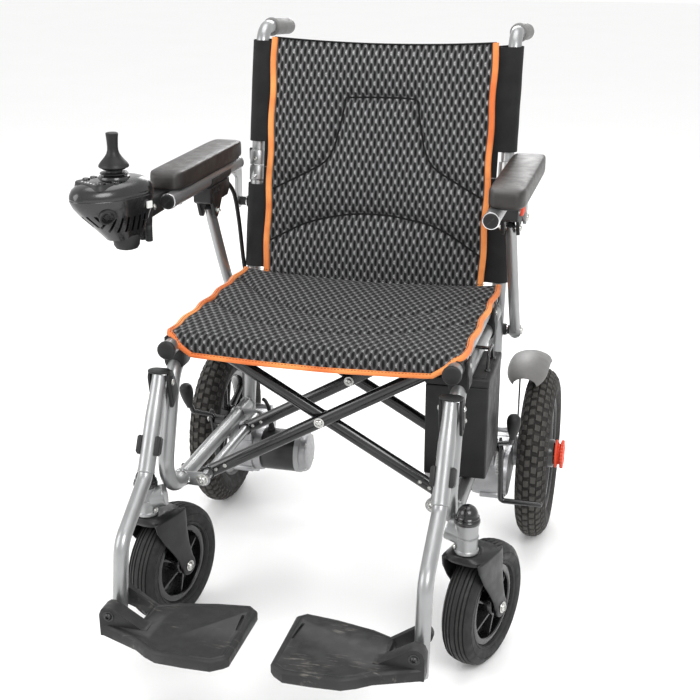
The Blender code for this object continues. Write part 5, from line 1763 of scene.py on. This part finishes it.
def controller_top():
    """Key pad with its keys and lamps, and the blank label on the flank."""
    keys, lamps = [], []
    for u, v in ((-0.024, -0.033), (-0.026, -0.018), (0.024, -0.033), (0.026, -0.018)):
        keys.append(skin([superoval((u, v, z), (0.006 * k, 0.0044 * k), 0.6, 24)
            for z, k in ((0.74, 1.0), (0.747, 1.0), (0.7482, 0.9), (0.7486, 0.6))]))
    panel = skin([superoval((0, -0.034, z), (0.031 * k, 0.021 * k), 0.5, 48)
        for z, k in ((0.738, 1.05), (0.745, 1.0), (0.7462, 0.96))])
    add("controller_panel", on_controller(panel), "plastic", "right_arm")
    add("controller_keys", on_controller(merged(*keys)), "gloss_plastic", "right_arm")
    for k in range(5):
        lamps.append(skin([superoval((-0.014 + 0.007 * k, -0.048, z), (0.0022 * w, 0.0011 * w), 0.7, 16)
            for z, w in ((0.744, 1.0), (0.7468, 1.0), (0.7472, 0.7))]))
    add("controller_lamps", on_controller(merged(*lamps)), "bright", "right_arm")
    label = block((0.0395, 0.025, 0.703), (0.0432, 0.0345, 0.7135), 0.0006, 1)
    add("controller_blank_label", on_controller(label), "panel", "right_arm")


def controller_under():
    """Bezel of the socket on the flank, bracket, side cover and the ribbed connectors."""
    bezel = turned([(0.0125, -0.006), (0.013, 0.0), (0.0122, 0.0016), (0.01, 0.0018), (0.0094, -0.003),
        (0.0052, -0.0032), (0.0048, -0.0012), (0.0018, -0.001)], (0.032, -0.04, 0.699),
        (0.86, -0.3, -0.42), 44)
    add("controller_socket", on_controller(bezel), "plastic", "right_arm")
    y = CONTROLLER_AT[1]
    bracket = skin([superoval((-0.274, y + 0.056 + dy, z), (0.015 * k, 0.0105), 0.5, 40)
        for z, dy, k in ((0.648, 0.0, 0.7), (0.652, 0.001, 0.95), (0.68, 0.004, 1.0),
        (0.698, 0.006, 0.95), (0.701, 0.006, 0.7))])
    low = (-0.3, y + 0.06, 0.668)
    high = (-0.2682, -0.27, 0.6985)
    arm = [(low[1], low[2] + 0.004), (low[1] + 0.03, low[2]), (high[1] - 0.02, low[2] + 0.002),
        (high[1], low[2] + 0.01), (high[1], high[2]), (low[1], high[2])]
    beam = prism(arm, -0.296, -0.2682, "X", 0.0022, 3)
    add("controller_bracket", merged(bracket, beam), "plastic", "right_arm", "controller_mount")
    screws = [bolt((-0.2682, v, 0.683), X, 0.0034, 0.0026) for v in (-0.4, -0.3)]
    add("controller_screws", merged(*screws), "zinc", "right_arm")
    stubs = []
    for place in ((-0.258, -0.45), (-0.271, -0.443)):
        profile = [(0.0042, 0.0), (0.0058, -0.001), (0.0058, -0.006)]
        for k in range(5):
            h = -0.006 - 0.0036 * k
            profile += [(0.005, h - 0.0003), (0.005, h - 0.0012), (0.0058, h - 0.0016),
                (0.0058, h - 0.0034)]
        profile += [(0.004, -0.025), (0.001, -0.0252)]
        stubs.append(turned(profile, (*place, 0.666), Z, 24))
    add("controller_connectors", merged(*stubs), "plastic", "right_arm")


def joystick():
    x, y = CONTROLLER_AT
    collar = turned([(0.024, 0.744), (0.0238, 0.748), (0.0225, 0.7505), (0.02, 0.7515), (0.019, 0.75)],
        (x, y, 0), Z, 48)
    add("joystick_collar", collar, "gloss_plastic", "right_arm")
    profile = [(0.015, 0.748), (0.0158, 0.7488), (0.0158, 0.752), (0.014, 0.753)]
    for r, z in ((0.0212, 0.7542), (0.018, 0.7612)):
        profile += [(0.0125, z - 0.001), (r - 0.0008, z - 0.0006), (r, z + 0.0002),
            (r - 0.0008, z + 0.0012), (0.0125, z + 0.002)]
        profile += [(0.012, z + 0.0036)]
    profile += [(0.0118, 0.7655), (0.008, 0.7685), (0.001, 0.769)]
    boot = turned(profile, (x, y, 0), Z, 56)
    add("joystick_bellows", boot, "fork", "stick_gimbal", "joystick_boot", 60)
    stick = [(0.004, 0.7705), (0.014, 0.7672), (0.019, 0.764), (0.0218, 0.7632), (0.0226, 0.7645),
        (0.0222, 0.7665), (0.02, 0.7698), (0.0165, 0.774), (0.013, 0.778), (0.0098, 0.7828),
        (0.0082, 0.788), (0.0079, 0.793), (0.0082, 0.8), (0.0087, 0.807), (0.0092, 0.8115),
        (0.0091, 0.813), (0.008, 0.8137), (0.001, 0.8133)]
    add("joystick_knob", turned(stick, (x, y, 0), Z, 56), "plastic", "stick", "joystick")
    cap = [(0.0052, 0.746), (0.0052, 0.7482), (0.0046, 0.7492), (0.003, 0.7494), (0.0026, 0.7488),
        (0.0008, 0.7488)]
    low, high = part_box("power_button")
    middle = (low + high) / 2 - AXLE
    add("power_key_cap", turned(cap, (middle.x, middle.y, 0.0003), Z, 32), "gloss_plastic", "power_key",
        "power_button")


CABLE_R = 0.0038
CABLE = [(-0.2515, -0.114, 0.66), (-0.251, -0.106, 0.6595), (-0.248, -0.086, 0.636),
    (-0.2462, -0.072, 0.59), (-0.246, -0.056, 0.52), (-0.246, -0.036, 0.44), (-0.245, -0.042, 0.37),
    (-0.24, -0.056, 0.3), (-0.238, -0.06, 0.1985)]


def cable():
    """Controller lead, which runs between the armrest and the frame."""
    lead = make("controller_lead", tube(smooth_path(CABLE, 10), CABLE_R, 20), "plastic")
    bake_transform(lead)
    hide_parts("controller_cable")
    ties = []
    for point, ahead in ((CABLE[5], (0.1, 0.15, -1)), (CABLE[7], (0.05, -0.1, -1))):
        ties.append(turned([(0.004, -0.0018), (0.0049, -0.0014), (0.0049, 0.0014), (0.004, 0.0018)],
            point, ahead, 24))
    add("cable_ties", merged(*ties), "gloss_plastic", "right_frame")


# ---- studio --------------------------------------------------------------------------------------
def studio():
    """Pale floor, white surroundings, four soft lights and the camera."""
    bm = bmesh.new()
    bmesh.ops.create_grid(bm, x_segments=1, y_segments=1, size=FLOOR_HALF)
    floor = as_mesh("floor", bm)
    ground = linked("floor", floor)
    s = Shader("pale_floor", (0.93, 0.93, 0.928), 0.5)
    s.set("Base Color", s.mix(s.noise(1.6, 3), (0.925, 0.924, 0.92), (0.945, 0.944, 0.942)))
    s.set("Roughness", s.span(s.noise(3, 3), 0.3, 0.7, 0.42, 0.6))
    floor.materials.append(s.material)
    world = bpy.data.worlds.new("studio")
    world.use_nodes = True
    sky = world.node_tree.nodes["Background"].inputs
    sky["Color"].default_value = (1, 1, 1, 1)
    sky["Strength"].default_value = 1.0
    bpy.context.scene.world = world
    bpy.context.scene.view_settings.view_transform = "Standard"
    bpy.context.scene.view_settings.look = "None"
    for name, place, size, power in LIGHTS:
        light = bpy.data.lights.new(name, "AREA")
        light.shape = "DISK"
        light.size = size
        light.energy = power
        made = linked(name, light)
        made.location = place
        made.rotation_euler = (LIT_POINT - Vector(place)).to_track_quat("-Z", "Y").to_euler()
    lens = bpy.data.cameras.new("camera")
    lens.lens = LENS
    lens.sensor_width = SENSOR
    made = linked("camera", lens)
    made.location = CAMERA_AT
    made.rotation_euler = (math.radians(90 - CAMERA_DOWN), 0, math.radians(CAMERA_TURN))
    bpy.context.scene.camera = made


def build():
    LOOKS.update(make_looks())
    studio()
    for side in SIDES:
        for part in (side_frame, rear_post, upper_post, push_grip, caster_stem, caster, drive_wheel,
                drive_unit, fender, brake, arm_pad, arm_rail, arm_latch, arm_strut, leg_rest, foot_plate):
            part(side)
    brace("front_brace", 1, 0, "right_brace", "right_cross_brace")
    brace("rear_brace", -1, BRACE_STEP, "left_brace", "left_cross_brace")
    seat_rail("left", 1, "right_brace")
    seat_rail("right", -1, "left_brace")
    seat()
    back_rest()
    battery()
    controller()
    joystick()
    cable()


build()
